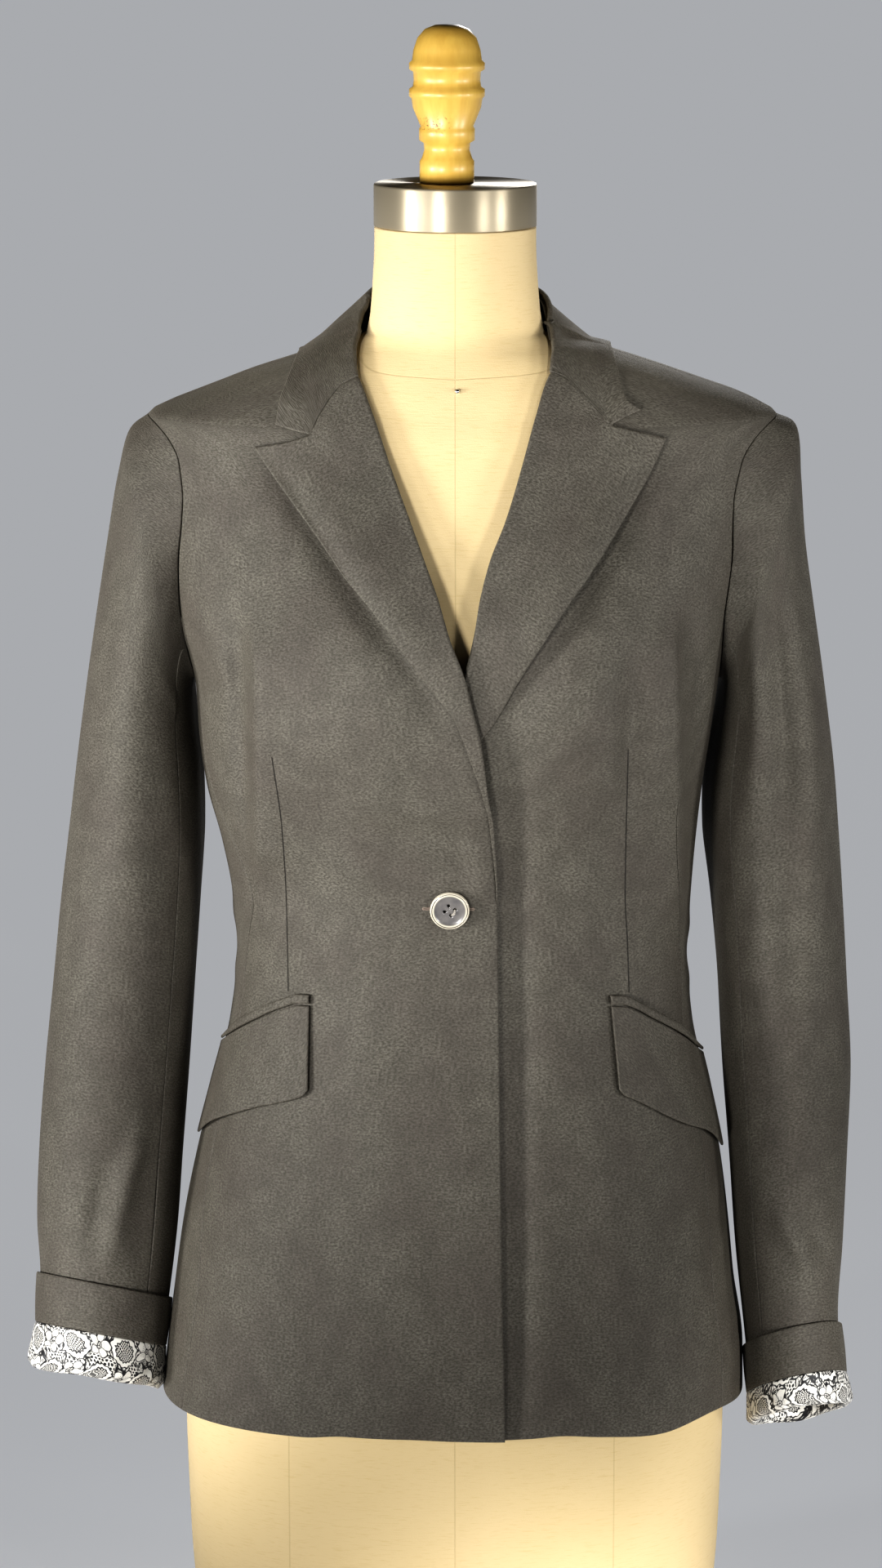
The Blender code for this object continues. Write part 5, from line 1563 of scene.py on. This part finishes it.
# %% [markdown]
# ## Pockets
# Each pocket is a jetted opening with a flap: a narrow rolled welt above, and under it a flap
# that falls open a little, more towards the side. Both are strips of the garment's own face,
# moved out, so they bend round the hip with it.

# %% Welts and flaps
POCKET = (
    ("along", "right_top", "right_bottom", "left_top", "left_bottom"),
    (0.00, 425.3, 374.5, 425.0, 374.5),
    (0.09, 424.6, 370.5, 423.8, 370.0),
    (0.17, 421.8, 367.5, 420.6, 365.2),
    (0.30, 416.6, 363.2, 413.4, 357.2),
    (0.44, 410.3, 357.5, 406.6, 350.0),
    (0.65, 401.5, 348.5, 396.5, 341.5),
    (0.86, 392.5, 338.0, 385.5, 330.0),
    (1.00, 387.0, 331.0, 380.0, 323.0),
)
POCKET_FRONT_X = {"right": (-83.3, -84.0), "left": (89.2, 93.6)}
POCKET_TOP_Z, POCKET_WIDTH, POCKET_DEPTH = 425.0, 92.0, 50.0
POCKET_END = math.radians(86)
POCKET_COLUMNS, WELT_ROWS, FLAP_ROWS = 44, 11, 17
WELT_HEIGHT, WELT_NARROWS = 6.8, 0.55     # millimetres, and the share it loses at the side
WELT_BULGE, UNDER_WELT = 1.1, 0.3         # how far it stands out, and how far the flap goes in
FLAP_STAND, CORNER_RISE, CORNER_SHARE = 2.3, 3.0, 0.035


def pocket_strip(name, along, z_rows, out_rows):
    """A strip laid over the pocket, from its front end round to the side."""
    front_top, front_bottom = POCKET_FRONT_X[name]
    side = SIDES[name]
    share_down = (POCKET_TOP_Z - z_rows[:, :1]) / POCKET_DEPTH
    start = angle_at_x(front_top + share_down * (front_bottom - front_top), z_rows[:, :1])
    angles = start + (side * POCKET_END - start) * along[None, :]
    if name == "right":
        angles, z_rows, out_rows = angles[:, ::-1], z_rows[:, ::-1], out_rows[:, ::-1]
    return face(angles, z_rows, out_rows)


def pocket(name):
    """A welt that bulges by sin(pi up)^0.7, and a flap that stands off below it."""
    along = shares_for(np.array([POCKET_WIDTH]), POCKET_COLUMNS)[0]
    top, bottom = read(POCKET, f"{name}_top", along), read(POCKET, f"{name}_bottom", along)
    bottom = bottom + CORNER_RISE * np.clip(1 - along / CORNER_SHARE, 0, 1) ** 2
    free, side_end = ("last", "first") if name == "right" else ("first", "last")
    edges = {free: EDGE_ROUND, side_end: EDGE_ROUND, "top": SEAM_ROUND, "bottom": EDGE_ROUND}
    up = np.linspace(0, 1, WELT_ROWS)[:, None]
    height = WELT_HEIGHT * (1 - WELT_NARROWS * smooth(0.6, 1.0, along))
    welt_z = top + UNDER_WELT + (height - UNDER_WELT) * up
    welt_out = CLOTH + LAYER_GAP + WELT_BULGE * np.sin(math.pi * up) ** 0.7 + 0 * top
    points = pocket_strip(name, along, welt_z, welt_out)
    piece = shell(f"pocket_welt_{name}_cloth", points, CLOTH, edges, crepe)
    sewn(piece, points)

    down = 1 - shares_for(np.array([POCKET_DEPTH]), FLAP_ROWS)[0][:, None]
    flap_z = top - UNDER_WELT + down * (bottom - top)
    opens = (0.35 + 0.65 * smooth(0.2, 0.7, along)) * (1 - 0.9 * smooth(0.7, 1.0, along))
    flap_out = FLAP_STAND * opens * smooth(0, 0.9, down) + CLOTH + 2 * LAYER_GAP
    points = pocket_strip(name, along, flap_z, flap_out)
    piece = shell(f"pocket_flap_{name}_cloth", points, CLOTH, edges, crepe)
    sewn(piece, points)


for side_name in SIDES:
    pocket(side_name)


# %% [markdown]
# ## The button and its hole
# One dark horn button holds the fronts together. It is turned on a lathe in reality, so here
# its profile is turned round an axis, and four holes are cut through it. Its rim is painted
# paler, as painted light for the glow of light in the thin horn, and the groove inside the rim
# is a dark line of painted shade. Two bows of waxed thread cross from hole to hole, and the
# buttonhole's stitched end shows beside the button as a short brown loop.

# %% The button
BUTTON_PLACE = (-3.3, 488.0)
BUTTON_FOOT = 0.6                         # millimetres between the cloth and its underside
BUTTON_SIDES, CAP_SIDES, FINIAL_SIDES, PIN_SIDES = 96, 96, 64, 24
BUTTON_RADIUS, BUTTON_HEIGHT, BUTTON_WELL = 11.3, 3.4, 1.0
BUTTON_BANDS = (2.7, 1.9, 1.12)           # in from its edge: painted glow begins, painted glow full, the groove's painted shade
HOLE_RADIUS, HOLE_FROM_MIDDLE, HOLE_TURN, HOLE_SIDES = 0.95, 3.0, 13.0, 20
DRILL_HEIGHTS = (-1.0, 4.0)
THREAD_RADIUS, THREAD_BOWS = 0.32, (0.55, 1.25)
HOLE_SLOT = (-14.6, 13.4, 0.5)            # the buttonhole's two ends and its half height
STITCH_RADIUS, STITCH_UNEVEN, STITCH_SIDES = 0.42, 0.07, 8


def button_frame():
    """The button's foot on the right front, and the directions across, up and out of it."""
    x, z = BUTTON_PLACE
    angle = angle_at_x(np.array(x), z)
    out = outward(angle, np.array(z))
    place = face(angle, np.array(z), overlap_rise(x, z) + BUTTON_FOOT)
    across = unit(np.cross(out, np.array([0.0, 0, 1])) * -1)
    return place, across, np.cross(out, across), out


def turned_piece(name, profile, sides, finish, place=(0, 0, 0), axes=np.eye(3)):
    """A closed turned body: each (radius, height) gives a ring, radius * (cos t, sin t), height.

    The profile runs up its outside and starts and ends on the axis.
    """
    turns = np.linspace(0, 2 * math.pi, sides, endpoint=False)
    radius, height = np.array(profile, float).T[..., None]
    rings = np.stack([radius * np.cos(turns), radius * np.sin(turns), height + 0 * turns], -1)
    rings = rings @ np.asarray(axes) + np.asarray(place)
    turns = np.append(np.tile(turns, len(profile) - 2), [0, 0])
    tangent = np.stack([-np.sin(turns), np.cos(turns), 0 * turns], -1) @ np.asarray(axes)
    return closed_body(name, rings[1:-1], rings[[0, -1], 0], finish, {"around": tangent})


rim, top, well = BUTTON_RADIUS, BUTTON_HEIGHT, BUTTON_HEIGHT - BUTTON_WELL - 0.15
BUTTON_PROFILE = [
    (0, 0.0), (rim - 2.0, 0.0), (rim - 0.9, 0.25), (rim - 0.3, 0.8), (rim, 1.5),
    (rim, top - 1.2), (rim - 0.2, top - 0.5), (rim - 0.55, top - 0.1), (rim - 0.85, top - 0.05),
    (rim - 1.05, top - 0.35), (rim - 1.2, top - 0.4), (rim - 1.4, top - 0.2),
    (rim - 1.9, top - 0.1), (rim - 2.5, top - 0.4), (rim - 3.4, top - 0.85),
    (rim - 4.8, top - BUTTON_WELL), (rim - 6.6, well), (0, well),
]
button_place, button_across, button_up, button_out = button_frame()
button_axes = np.stack([button_across, button_up, button_out])


HORN_CLOUD = 220.0                        # per metre: clouds of about 4.5 mm


def dark_horn():
    """Smoky horn: a grey face, a rim painted paler for light glowing in the thin horn, and painted
    shade in its groove.
    """
    made, shader, add = new_material("dark_horn", Roughness=0.3, Coat_Weight=0.35,
                                     Coat_Roughness=0.15)
    places = add("TexCoord", out="Object")
    cloud = add("TexNoise", None, places, HORN_CLOUD, 3.0)
    colour = add("Mix", COLOURS, cloud, linear("4A484A"), linear("7F7B76"))
    from_axis = add("VectorMath", "SUBTRACT", places, tuple(button_place * MM))
    from_axis = add("VectorMath", "CROSS_PRODUCT", from_axis, tuple(button_out))
    from_axis = add("VectorMath", "LENGTH", from_axis)
    painted_glow_from, all_painted_glow, groove = ((BUTTON_RADIUS - inwards) * MM for inwards in BUTTON_BANDS)
    # Painted light: the rim is painted paler for the glow of light in the thin horn.
    colour = tinted(add, colour, from_axis, painted_glow_from, all_painted_glow, 0.9, "C9C1AF")
    # Painted shade: a dark line along the groove inside the rim.
    beside = add("Math", "ABSOLUTE", add("Math", "SUBTRACT", from_axis, groove))
    beside = add("MapRange", SOFT_STEP, beside, 0.0001, 0.0003)
    feed(shader, Base_Color=add("Mix", COLOURS, beside, linear("2B2724"), colour))
    return made


horn = dark_horn()
print("button:", 2 * BUTTON_RADIUS, "mm across")
button = turned_piece("button_horn", BUTTON_PROFILE, BUTTON_SIDES, horn, button_place, button_axes)


def bored(piece, cutter):
    """The piece with the cutter's shape taken out of it for good, and the cutter thrown away."""
    cut = piece.modifiers.new("holes", "BOOLEAN")
    cut.operation, cut.solver, cut.object = "DIFFERENCE", "EXACT", cutter
    bpy.context.view_layer.update()
    seen = piece.evaluated_get(bpy.context.evaluated_depsgraph_get())
    made = bpy.data.meshes.new_from_object(seen)
    piece.modifiers.clear()
    piece.data = made
    bpy.data.objects.remove(cutter)


def on_button(points):
    """Points in the button's own frame (across, up, out of it) put in their place."""
    return np.asarray(points, float) @ button_axes + button_place


def tube(path, radius, sides=10):
    """Rings round a path, path + r (cos t s + sin t o), drawn in to nearly nothing at its ends."""
    along = unit(np.gradient(path, axis=0))
    side = unit(np.cross(along, np.eye(3)[np.argmin(np.abs(along).mean(0))]))
    other = np.cross(along, side)
    turns = np.linspace(0, 2 * math.pi, sides, endpoint=False)
    size = radius * np.sqrt(np.clip(1 - np.linspace(-1, 1, len(path)) ** 20, 0.02, 1))
    turns = turns[None, :, None]
    return path[:, None] + size[:, None, None] * (
        np.cos(turns) * side[:, None] + np.sin(turns) * other[:, None]
    )


WAXED_TWIST, HOLE_TWIST = 2600.0, 2200.0  # per metre: threads twisted every 0.4 mm or so


def thread_look(name, roughness, twist, dark, light):
    """Twisted thread: fine noise between two tones."""
    made, shader, add = new_material(name, Roughness=roughness)
    share = add("TexNoise", None, add("TexCoord", out="Object"), twist)
    feed(shader, Base_Color=add("Mix", COLOURS, share, linear(dark), linear(light)))
    return made


hole_turns = np.radians(HOLE_TURN + 90 * np.arange(4))
hole_middles = HOLE_FROM_MIDDLE * np.stack([np.cos(hole_turns), np.sin(hole_turns)], -1)
round_hole = np.linspace(0, 2 * math.pi, HOLE_SIDES, endpoint=False)
round_hole = HOLE_RADIUS * np.stack([np.cos(round_hole), np.sin(round_hole)], -1)
for middle in hole_middles:
    wall = [np.insert(middle + round_hole, 2, height, axis=1) for height in DRILL_HEIGHTS]
    bored(button, capped("drill", on_button(wall), horn))
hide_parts("button")

thread = thread_look("waxed_thread", 0.5, WAXED_TWIST, "7A746C", "B9B3A8")
first, last = hole_middles[0], hole_middles[3]
t = np.linspace(0, 1, 25)[:, None]
sideways = unit(np.array([[last[1] - first[1], first[0] - last[0]]]))
for number, bow in enumerate(THREAD_BOWS):
    flat = first + t * (last - first) - bow * np.sin(math.pi * t) * sideways
    rise = well - 1.2 + 1.75 * np.clip(np.sin(math.pi * t), 0, 1) ** 0.35
    path = on_button(np.concatenate([flat, rise], 1))
    capped(f"button_thread_{number + 1}", tube(path, THREAD_RADIUS), thread)

hole_thread = thread_look("buttonhole_thread", 0.6, HOLE_TWIST, "5C5048", "9A8B7E")
low, high, half = HOLE_SLOT
straight = np.linspace(low, high, 90)
bend = np.linspace(-math.pi / 2, math.pi / 2, 14)[1:-1]
bend = half * np.stack([np.cos(bend), np.sin(bend)], -1)
side = np.stack([straight, np.full(90, -half)], -1)
slot = np.concatenate([side, bend + (high, 0), side[::-1] * (1, -1), (low, 0) - bend])
turns = np.linspace(2 * math.pi, 0, STITCH_SIDES, endpoint=False)
walls = np.roll(slot, -1, 0) - np.roll(slot, 1, 0)
outwards = unit(np.stack([walls[:, 1], -walls[:, 0]], -1))
knots = STITCH_RADIUS + STITCH_UNEVEN * np.cos(np.arange(len(slot)) * 2.1)
flat = slot[:, None] + (knots[:, None] * np.cos(turns))[..., None] * outwards[:, None]
x, z = BUTTON_PLACE[0] + flat[..., 0], BUTTON_PLACE[1] + flat[..., 1]
ring = face(angle_at_x(x, z), z, overlap_rise(x, z) + 0.15 + 0.8 * knots[:, None] * np.sin(turns))
ids = np.arange(len(slot) * STITCH_SIDES).reshape(len(slot), STITCH_SIDES)
ids = np.pad(ids, ((0, 1), (0, 1)), mode="wrap")
add_mesh("buttonhole_stitches", ring.reshape(-1, 3), quads(ids), hole_thread)
print("buttonhole:", high - low, "mm long")


# %% [markdown]
# ## The dress form
# The form is a padded torso under cream cotton, with a steel cap on its neck and a turned
# wooden finial. The torso is one smooth skin through level rings, and its seams lie flat, so
# they are drawn in the cloth as faint lines of painted shade. Below the hem it shows a plain
# drum of cotton on a board.

# %% The torso's rings
FORM_COLUMNS = ("z", "right", "left", "front", "back", "square")
FORM_LOW = (
    FORM_COLUMNS,
    (15.4, 151.0, 151.0, 101.0, 112.0, 2.3),
    (30, 154.5, 154.5, 103.5, 115.0, 2.3),
    (65, 157.5, 157.5, 106.5, 118.0, 2.3),
    (117, 160.0, 160.0, 109.0, 121.0, 2.3),
    (152, 161.0, 161.0, 110.0, 122.5, 2.3),
    (210, 160.5, 160.5, 111.5, 123.0, 2.3),
)
FORM_NECK = (
    FORM_COLUMNS,
    (804, 54.0, 55.0, 47.5, 57.8, 2.0),
    (812, 50.0, 50.4, 46.3, 56.4, 2.0),
    (822, 48.6, 48.8, 45.6, 55.4, 2.0),
    (836, 47.6, 47.6, 44.3, 54.5, 2.0),
    (856, 46.6, 46.6, 42.5, 52.5, 2.0),
    (866.7, 46.6, 46.6, 41.6, 51.6, 2.0),
)
FORM_LOW_ROWS = (15.4, 20, 65, 117, 152, 200)
FORM_INNER_ROWS = (
    *(245, 300, 360, 420, 470, 520, 565, 605, 645, 685),
    *(720, 742, 757, 764, 771, 778, 785, 791, 796),
)
FORM_NECK_ROWS = (804, 813, 823, 838, 856, 866.7)
FORM_INSET = (
    ("z", "inset"),
    (240, 8.0),
    (330, 8.0),
    (441, 9.0),
    (560, 10.5),
    (610, 10.5),
    (680, 8.5),
    (735, 5.4),
    (765, 3.6),
    (797, 3.0),
)
FORM_SIDES = 144
FORM_FOOT_LEVELS, FORM_LEVELS, FORM_TOP_LEVEL = (15.4, 15.7, 16.5), (18, 866.0, 6.0), 866.7


def plain_skin(angle, z):
    """The garment's rings with the bust alone, which is what the padded form has under them."""
    x, y = oval(TORSO, angle, z)
    ahead = smooth(*FACING, np.cos(angle)) * relief(BUST, x, z)
    return np.stack([x, y - ahead, z + 0 * x], axis=-1)


def plain_inward(angle, z, inset):
    """The plain skin moved in along its normal."""
    return plain_skin(angle, z) - inset * outward(angle, z, plain_skin)


def level_ring(table, angles, z):
    """The table's oval at one level."""
    x, y = oval(table, angles, z)
    return np.stack([x, y, np.full(len(angles), float(z))], -1)


# Per metre: mottling of 70 mm, and level slubs 9 mm long and 0.7 mm high. The weave of 0.7 mm is
# drawn about twice as coarse as the real one, which is too fine to show.
MOTTLING, SLUBS, WEAVE = 14.0, (110.0, 110.0, 1500.0), 1500.0


def form_cotton():
    """Cream cotton: a plain weave of fine threads, faint mottling, and the seams' painted shade."""
    made, shader, add = new_material("cream_cotton", Roughness=0.85, Sheen_Weight=0.1,
                                     Specular_IOR_Level=0.3)
    places = add("TexCoord", out="Object")
    broad = add("TexNoise", None, places, MOTTLING, 3.0)
    colour = add("Mix", COLOURS, broad, linear("C8B48A"), linear("D2BE97"))
    slubs = add("Mapping", Vector=places, Scale=SLUBS)
    slubs = add("TexNoise", None, slubs, 1.0, 3.0, 0.6)
    colour = tinted(add, colour, slubs, 0.52, 0.72, 0.45, "BFA87A")
    weave = add("TexNoise", None, places, WEAVE, 2.0, 0.6)
    weave = add("Math", "MULTIPLY_ADD", slubs, 1.2, weave)
    normal = add("Bump", Height=weave, Distance=0.00016, Strength=0.6)
    facts = add("Attribute", {"attribute_name": "lines"}, out="Vector")
    away = add("SeparateXYZ", None, facts).node.outputs
    centre, princess, neck = (add("Math", "ABSOLUTE", part) for part in away)
    nearest = add("Math", "MINIMUM", add("Math", "MINIMUM", centre, princess), neck)
    dip = add("MapRange", SOFT_STEP, nearest, 0.0, 0.6)
    normal = add("Bump", Height=dip, Distance=0.00012, Strength=0.9, Normal=normal)
    # The seams' darker line is painted shade: the shade in their shallow grooves.
    dark = add("Math", "SUBTRACT", 1.0, add("MapRange", SOFT_STEP, nearest, 0.15, 0.55))
    dark = add("Math", "MULTIPLY", dark, 0.22)
    colour = add("Mix", COLOURS, dark, colour, linear("8E7A52"))
    feed(shader, Base_Color=colour, Normal=normal)
    return made


cotton = form_cotton()

# %% The torso
PRINCESS_X = (-97.0, 93.0)
NECK_SEAM = (
    ("turn", "z"),
    (0, 785.5),
    (25, 788.5),
    (45, 795.0),
    (70, 803.0),
    (110, 810.0),
    (180, 816.0),
)


def form_body():
    """One skin through level rings, with each point's distances from three seams."""
    angles = np.linspace(-math.pi, math.pi, FORM_SIDES, endpoint=False)
    inner = [plain_inward(angles, np.full(FORM_SIDES, float(z)), read(FORM_INSET, "inset", z))
             for z in FORM_INNER_ROWS]
    low = [level_ring(FORM_LOW, angles, z) for z in FORM_LOW_ROWS]
    neck = [level_ring(FORM_NECK, angles, z) for z in FORM_NECK_ROWS]
    rings = np.array(low + inner + neck)
    knots = np.array(FORM_LOW_ROWS + FORM_INNER_ROWS + FORM_NECK_ROWS, float)
    levels = [FORM_FOOT_LEVELS, steps_between(*FORM_LEVELS), [FORM_TOP_LEVEL]]
    levels = np.concatenate(levels)
    rings = through(rings, knots, levels)
    x, z = rings[..., 0], rings[..., 2]
    princess = np.where(x < 0, PRINCESS_X[0] - x, x - PRINCESS_X[1])
    neck_seam = z - read(NECK_SEAM, "z", np.degrees(np.abs(angles)))[None, :]
    lines = np.stack([np.clip(v, -FAR, FAR) for v in (x, princess, neck_seam)], -1)
    piece = capped("form_body_cotton", rings, cotton, {"lines": lines})
    print("form:", len(levels), "rings of", FORM_SIDES, "points")
    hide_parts("form_body")


form_body()

# A steel pin through the cotton, just under the crossing of two seams.
PIN_PLACE, PIN_RADIUS, PIN_OUT = (1.0, 780.6), 1.5, 0.6
pin_x, pin_z = PIN_PLACE
pin_steel, _, _ = new_material("pin_steel", Metallic=1.0, Roughness=0.16)
pin_turns = np.linspace(0, math.pi, 15)
pin_head = [(PIN_RADIUS * math.sin(t), -PIN_RADIUS * math.cos(t)) for t in pin_turns]
pin_angle = angle_at_x(np.array(pin_x), np.array(pin_z))
pin_depth = float(read(FORM_INSET, "inset", pin_z)) - PIN_OUT
pin_foot = plain_inward(pin_angle, np.array(pin_z), pin_depth)
turned_piece("form_pin_head", pin_head, PIN_SIDES, pin_steel, pin_foot)

# %% The steel cap, the wooden finial and the board
CAP_RADIUS, CAP_LOW_Z, CAP_TOP_Z = 47.0, 867.0, 891.5
NECK_MIDDLE_Y, FINIAL_X = 5.0, -4.8
FINIAL = (
    ("r", "z"),
    (7.0, 981.5),
    (12.7, 979.2),
    (16.9, 974.3),
    (19.2, 967.5),
    (20.0, 961.6),
    (21.7, 960.0),
    (21.7, 956.4),
    (19.4, 955.0),
    (19.1, 950.0),
    (19.6, 946.6),
    (21.7, 945.2),
    (21.7, 941.2),
    (20.4, 939.8),
    (19.6, 934.5),
    (15.2, 924.0),
    (16.0, 922.4),
    (16.0, 916.0),
    (13.4, 914.4),
    (13.0, 910.5),
    (14.4, 906.0),
    (15.7, 904.0),
    (15.7, 891.8),
)
FINIAL_TOP_Z = 982.0
PITS_Z = 926.0                            # millimetres: the torn band above the finial's waist
BASE_RINGS = (
    # level, inset
    (0, 2.0), (0.6, 0.6), (2.0, 0), (13.0, 0), (14.4, 0.6), (15.0, 2.0),
)
BASE_HALF_WIDTH, BASE_FRONT, BASE_BACK, BASE_SQUARE = 156.0, 106.0, 118.0, 2.3
BASE_SIDES = 120


# Per metre: scratches 70 mm long and 0.3 mm high, and smudges of 17 mm.
SCRATCHES, SMUDGES = (14.0, 14.0, 3200.0), 60.0


def brushed_steel():
    """Steel brushed round the cap: fine level scratches, which draw highlights out upright."""
    made, shader, add = new_material("brushed_steel", Metallic=0.7, Roughness=0.3,
                                     Base_Color=linear("B7AC96"), Anisotropic=0.85,
                                     Anisotropic_Rotation=0.25)
    places = add("TexCoord", out="Object")
    scratches = add("Mapping", Vector=places, Scale=SCRATCHES)
    scratches = add("TexNoise", None, scratches, 1.0, 4.0, 0.7)
    smudges = add("TexNoise", None, places, SMUDGES, 2.0)
    worn = add("Math", "MULTIPLY_ADD", smudges, 0.5, scratches)
    feed(shader, Roughness=add("MapRange", None, worn, 0.3, 1.2, 0.36, 0.50),
         Normal=add("Bump", Height=scratches, Distance=0.00005, Strength=0.5),
         Tangent=add("Attribute", {"attribute_name": "around"}, out="Vector"))
    return made


# Per metre: grain 4 mm wide and 45 mm long, stains of 22 mm and pits of 1.1 mm.
GRAIN, STAINS, PITS = (260.0, 260.0, 22.0), 45.0, 900.0


def varnished_wood(name, light, dark, roughness, grain_shows):
    """Varnished wood: long faint grain, a few pits where the tool tore it, and a clear coat."""
    made, shader, add = new_material(name, Roughness=roughness, Coat_Weight=0.4,
                                     Coat_Roughness=0.28)
    places = add("TexCoord", out="Object")
    grain = add("Mapping", Vector=places, Scale=GRAIN)
    grain = add("TexNoise", None, grain, 1.0, 4.0, 0.6)
    stain = add("TexNoise", None, places, STAINS, 2.0, 0.5)
    colour = tinted(add, linear(light), grain, 0.3, 0.72, grain_shows, dark)
    colour = tinted(add, colour, stain, 0.42, 0.7, 0.4, dark)
    x, _, z = add("SeparateXYZ", None, places).node.outputs
    torn = add("Math", "ABSOLUTE", add("Math", "SUBTRACT", z, PITS_Z * MM))
    torn = add("Math", "MULTIPLY", add("MapRange", SOFT_STEP, torn, 0.006, 0.002),
               add("MapRange", SOFT_STEP, x, 0.0, -0.008))
    pits = add("TexNoise", None, places, PITS, 1.0, 0.5)
    pits = add("Math", "MULTIPLY", add("MapRange", SOFT_STEP, pits, 0.62, 0.70), torn)
    colour = add("Mix", COLOURS, add("Math", "MULTIPLY", pits, 0.85), colour, linear("6B420F"))
    depth = add("Math", "SUBTRACT", add("Math", "MULTIPLY", grain, 0.15), pits)
    normal = add("Bump", Height=depth, Distance=0.0004, Strength=0.6)
    feed(shader, Base_Color=colour, Normal=normal)
    return made


steel = brushed_steel()
finial_wood = varnished_wood("golden_turned_wood", "D9B65F", "BE9342", 0.42, 0.35)
board_wood = varnished_wood("board_wood", "A8794A", "7F5228", 0.5, 1.0)

cap_profile = [
    (0, CAP_LOW_Z), (CAP_RADIUS - 0.6, CAP_LOW_Z), (CAP_RADIUS - 0.15, CAP_LOW_Z + 0.15),
    (CAP_RADIUS, CAP_LOW_Z + 0.6), (CAP_RADIUS, CAP_TOP_Z - 1.2),
    (CAP_RADIUS - 0.35, CAP_TOP_Z - 0.35), (CAP_RADIUS - 1.2, CAP_TOP_Z), (0, CAP_TOP_Z),
]
cap = turned_piece("form_cap_steel", cap_profile, CAP_SIDES, steel, (0, NECK_MIDDLE_Y, 0))
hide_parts("form_cap")

finial_rows = list(zip(column(FINIAL, "r"), column(FINIAL, "z")))[::-1]
finial_profile = [(0, finial_rows[0][1]), *finial_rows, (0, FINIAL_TOP_Z)]
finial_place = (FINIAL_X, NECK_MIDDLE_Y, 0)
finial = turned_piece("form_finial_wood", finial_profile, FINIAL_SIDES, finial_wood, finial_place)
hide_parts("form_finial")
print("cap:", 2 * CAP_RADIUS, "mm across; finial:", FINIAL_TOP_Z - CAP_TOP_Z, "mm high")


def form_base():
    """An oval board, x = w sin^(2/p), y = -d cos^(2/p), with its edges bevelled."""
    angles = np.linspace(-math.pi, math.pi, BASE_SIDES, endpoint=False)
    power = 2 / BASE_SQUARE
    rings = []
    for z, inset in BASE_RINGS:
        depth = np.where(np.cos(angles) > 0, BASE_FRONT, BASE_BACK) - inset
        x = (BASE_HALF_WIDTH - inset) * signed_power(np.sin(angles), power)
        y = -depth * signed_power(np.cos(angles), power)
        rings.append(np.stack([x, y, np.full(len(angles), float(z))], -1))
    piece = capped("form_base_board", np.array(rings), board_wood)
    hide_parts("form_base")


form_base()

# %% The floor
floor_mesh = bpy.data.meshes.new("floor")
corners = [(-FLOOR_HALF, -FLOOR_HALF, 0), (FLOOR_HALF, -FLOOR_HALF, 0),
           (FLOOR_HALF, FLOOR_HALF, 0), (-FLOOR_HALF, FLOOR_HALF, 0)]
floor_mesh.from_pydata(corners, [], [(0, 1, 2, 3)])
floor_finish, _, _ = new_material("pale_floor", Roughness=0.9, Base_Color=linear("B4B6BA"),
                                  Emission_Color=linear("E4E6EA"), Emission_Strength=FLOOR_GLOW)
floor_mesh.materials.append(floor_finish)
floor = bpy.data.objects.new("floor", floor_mesh)
scene.collection.objects.link(floor)
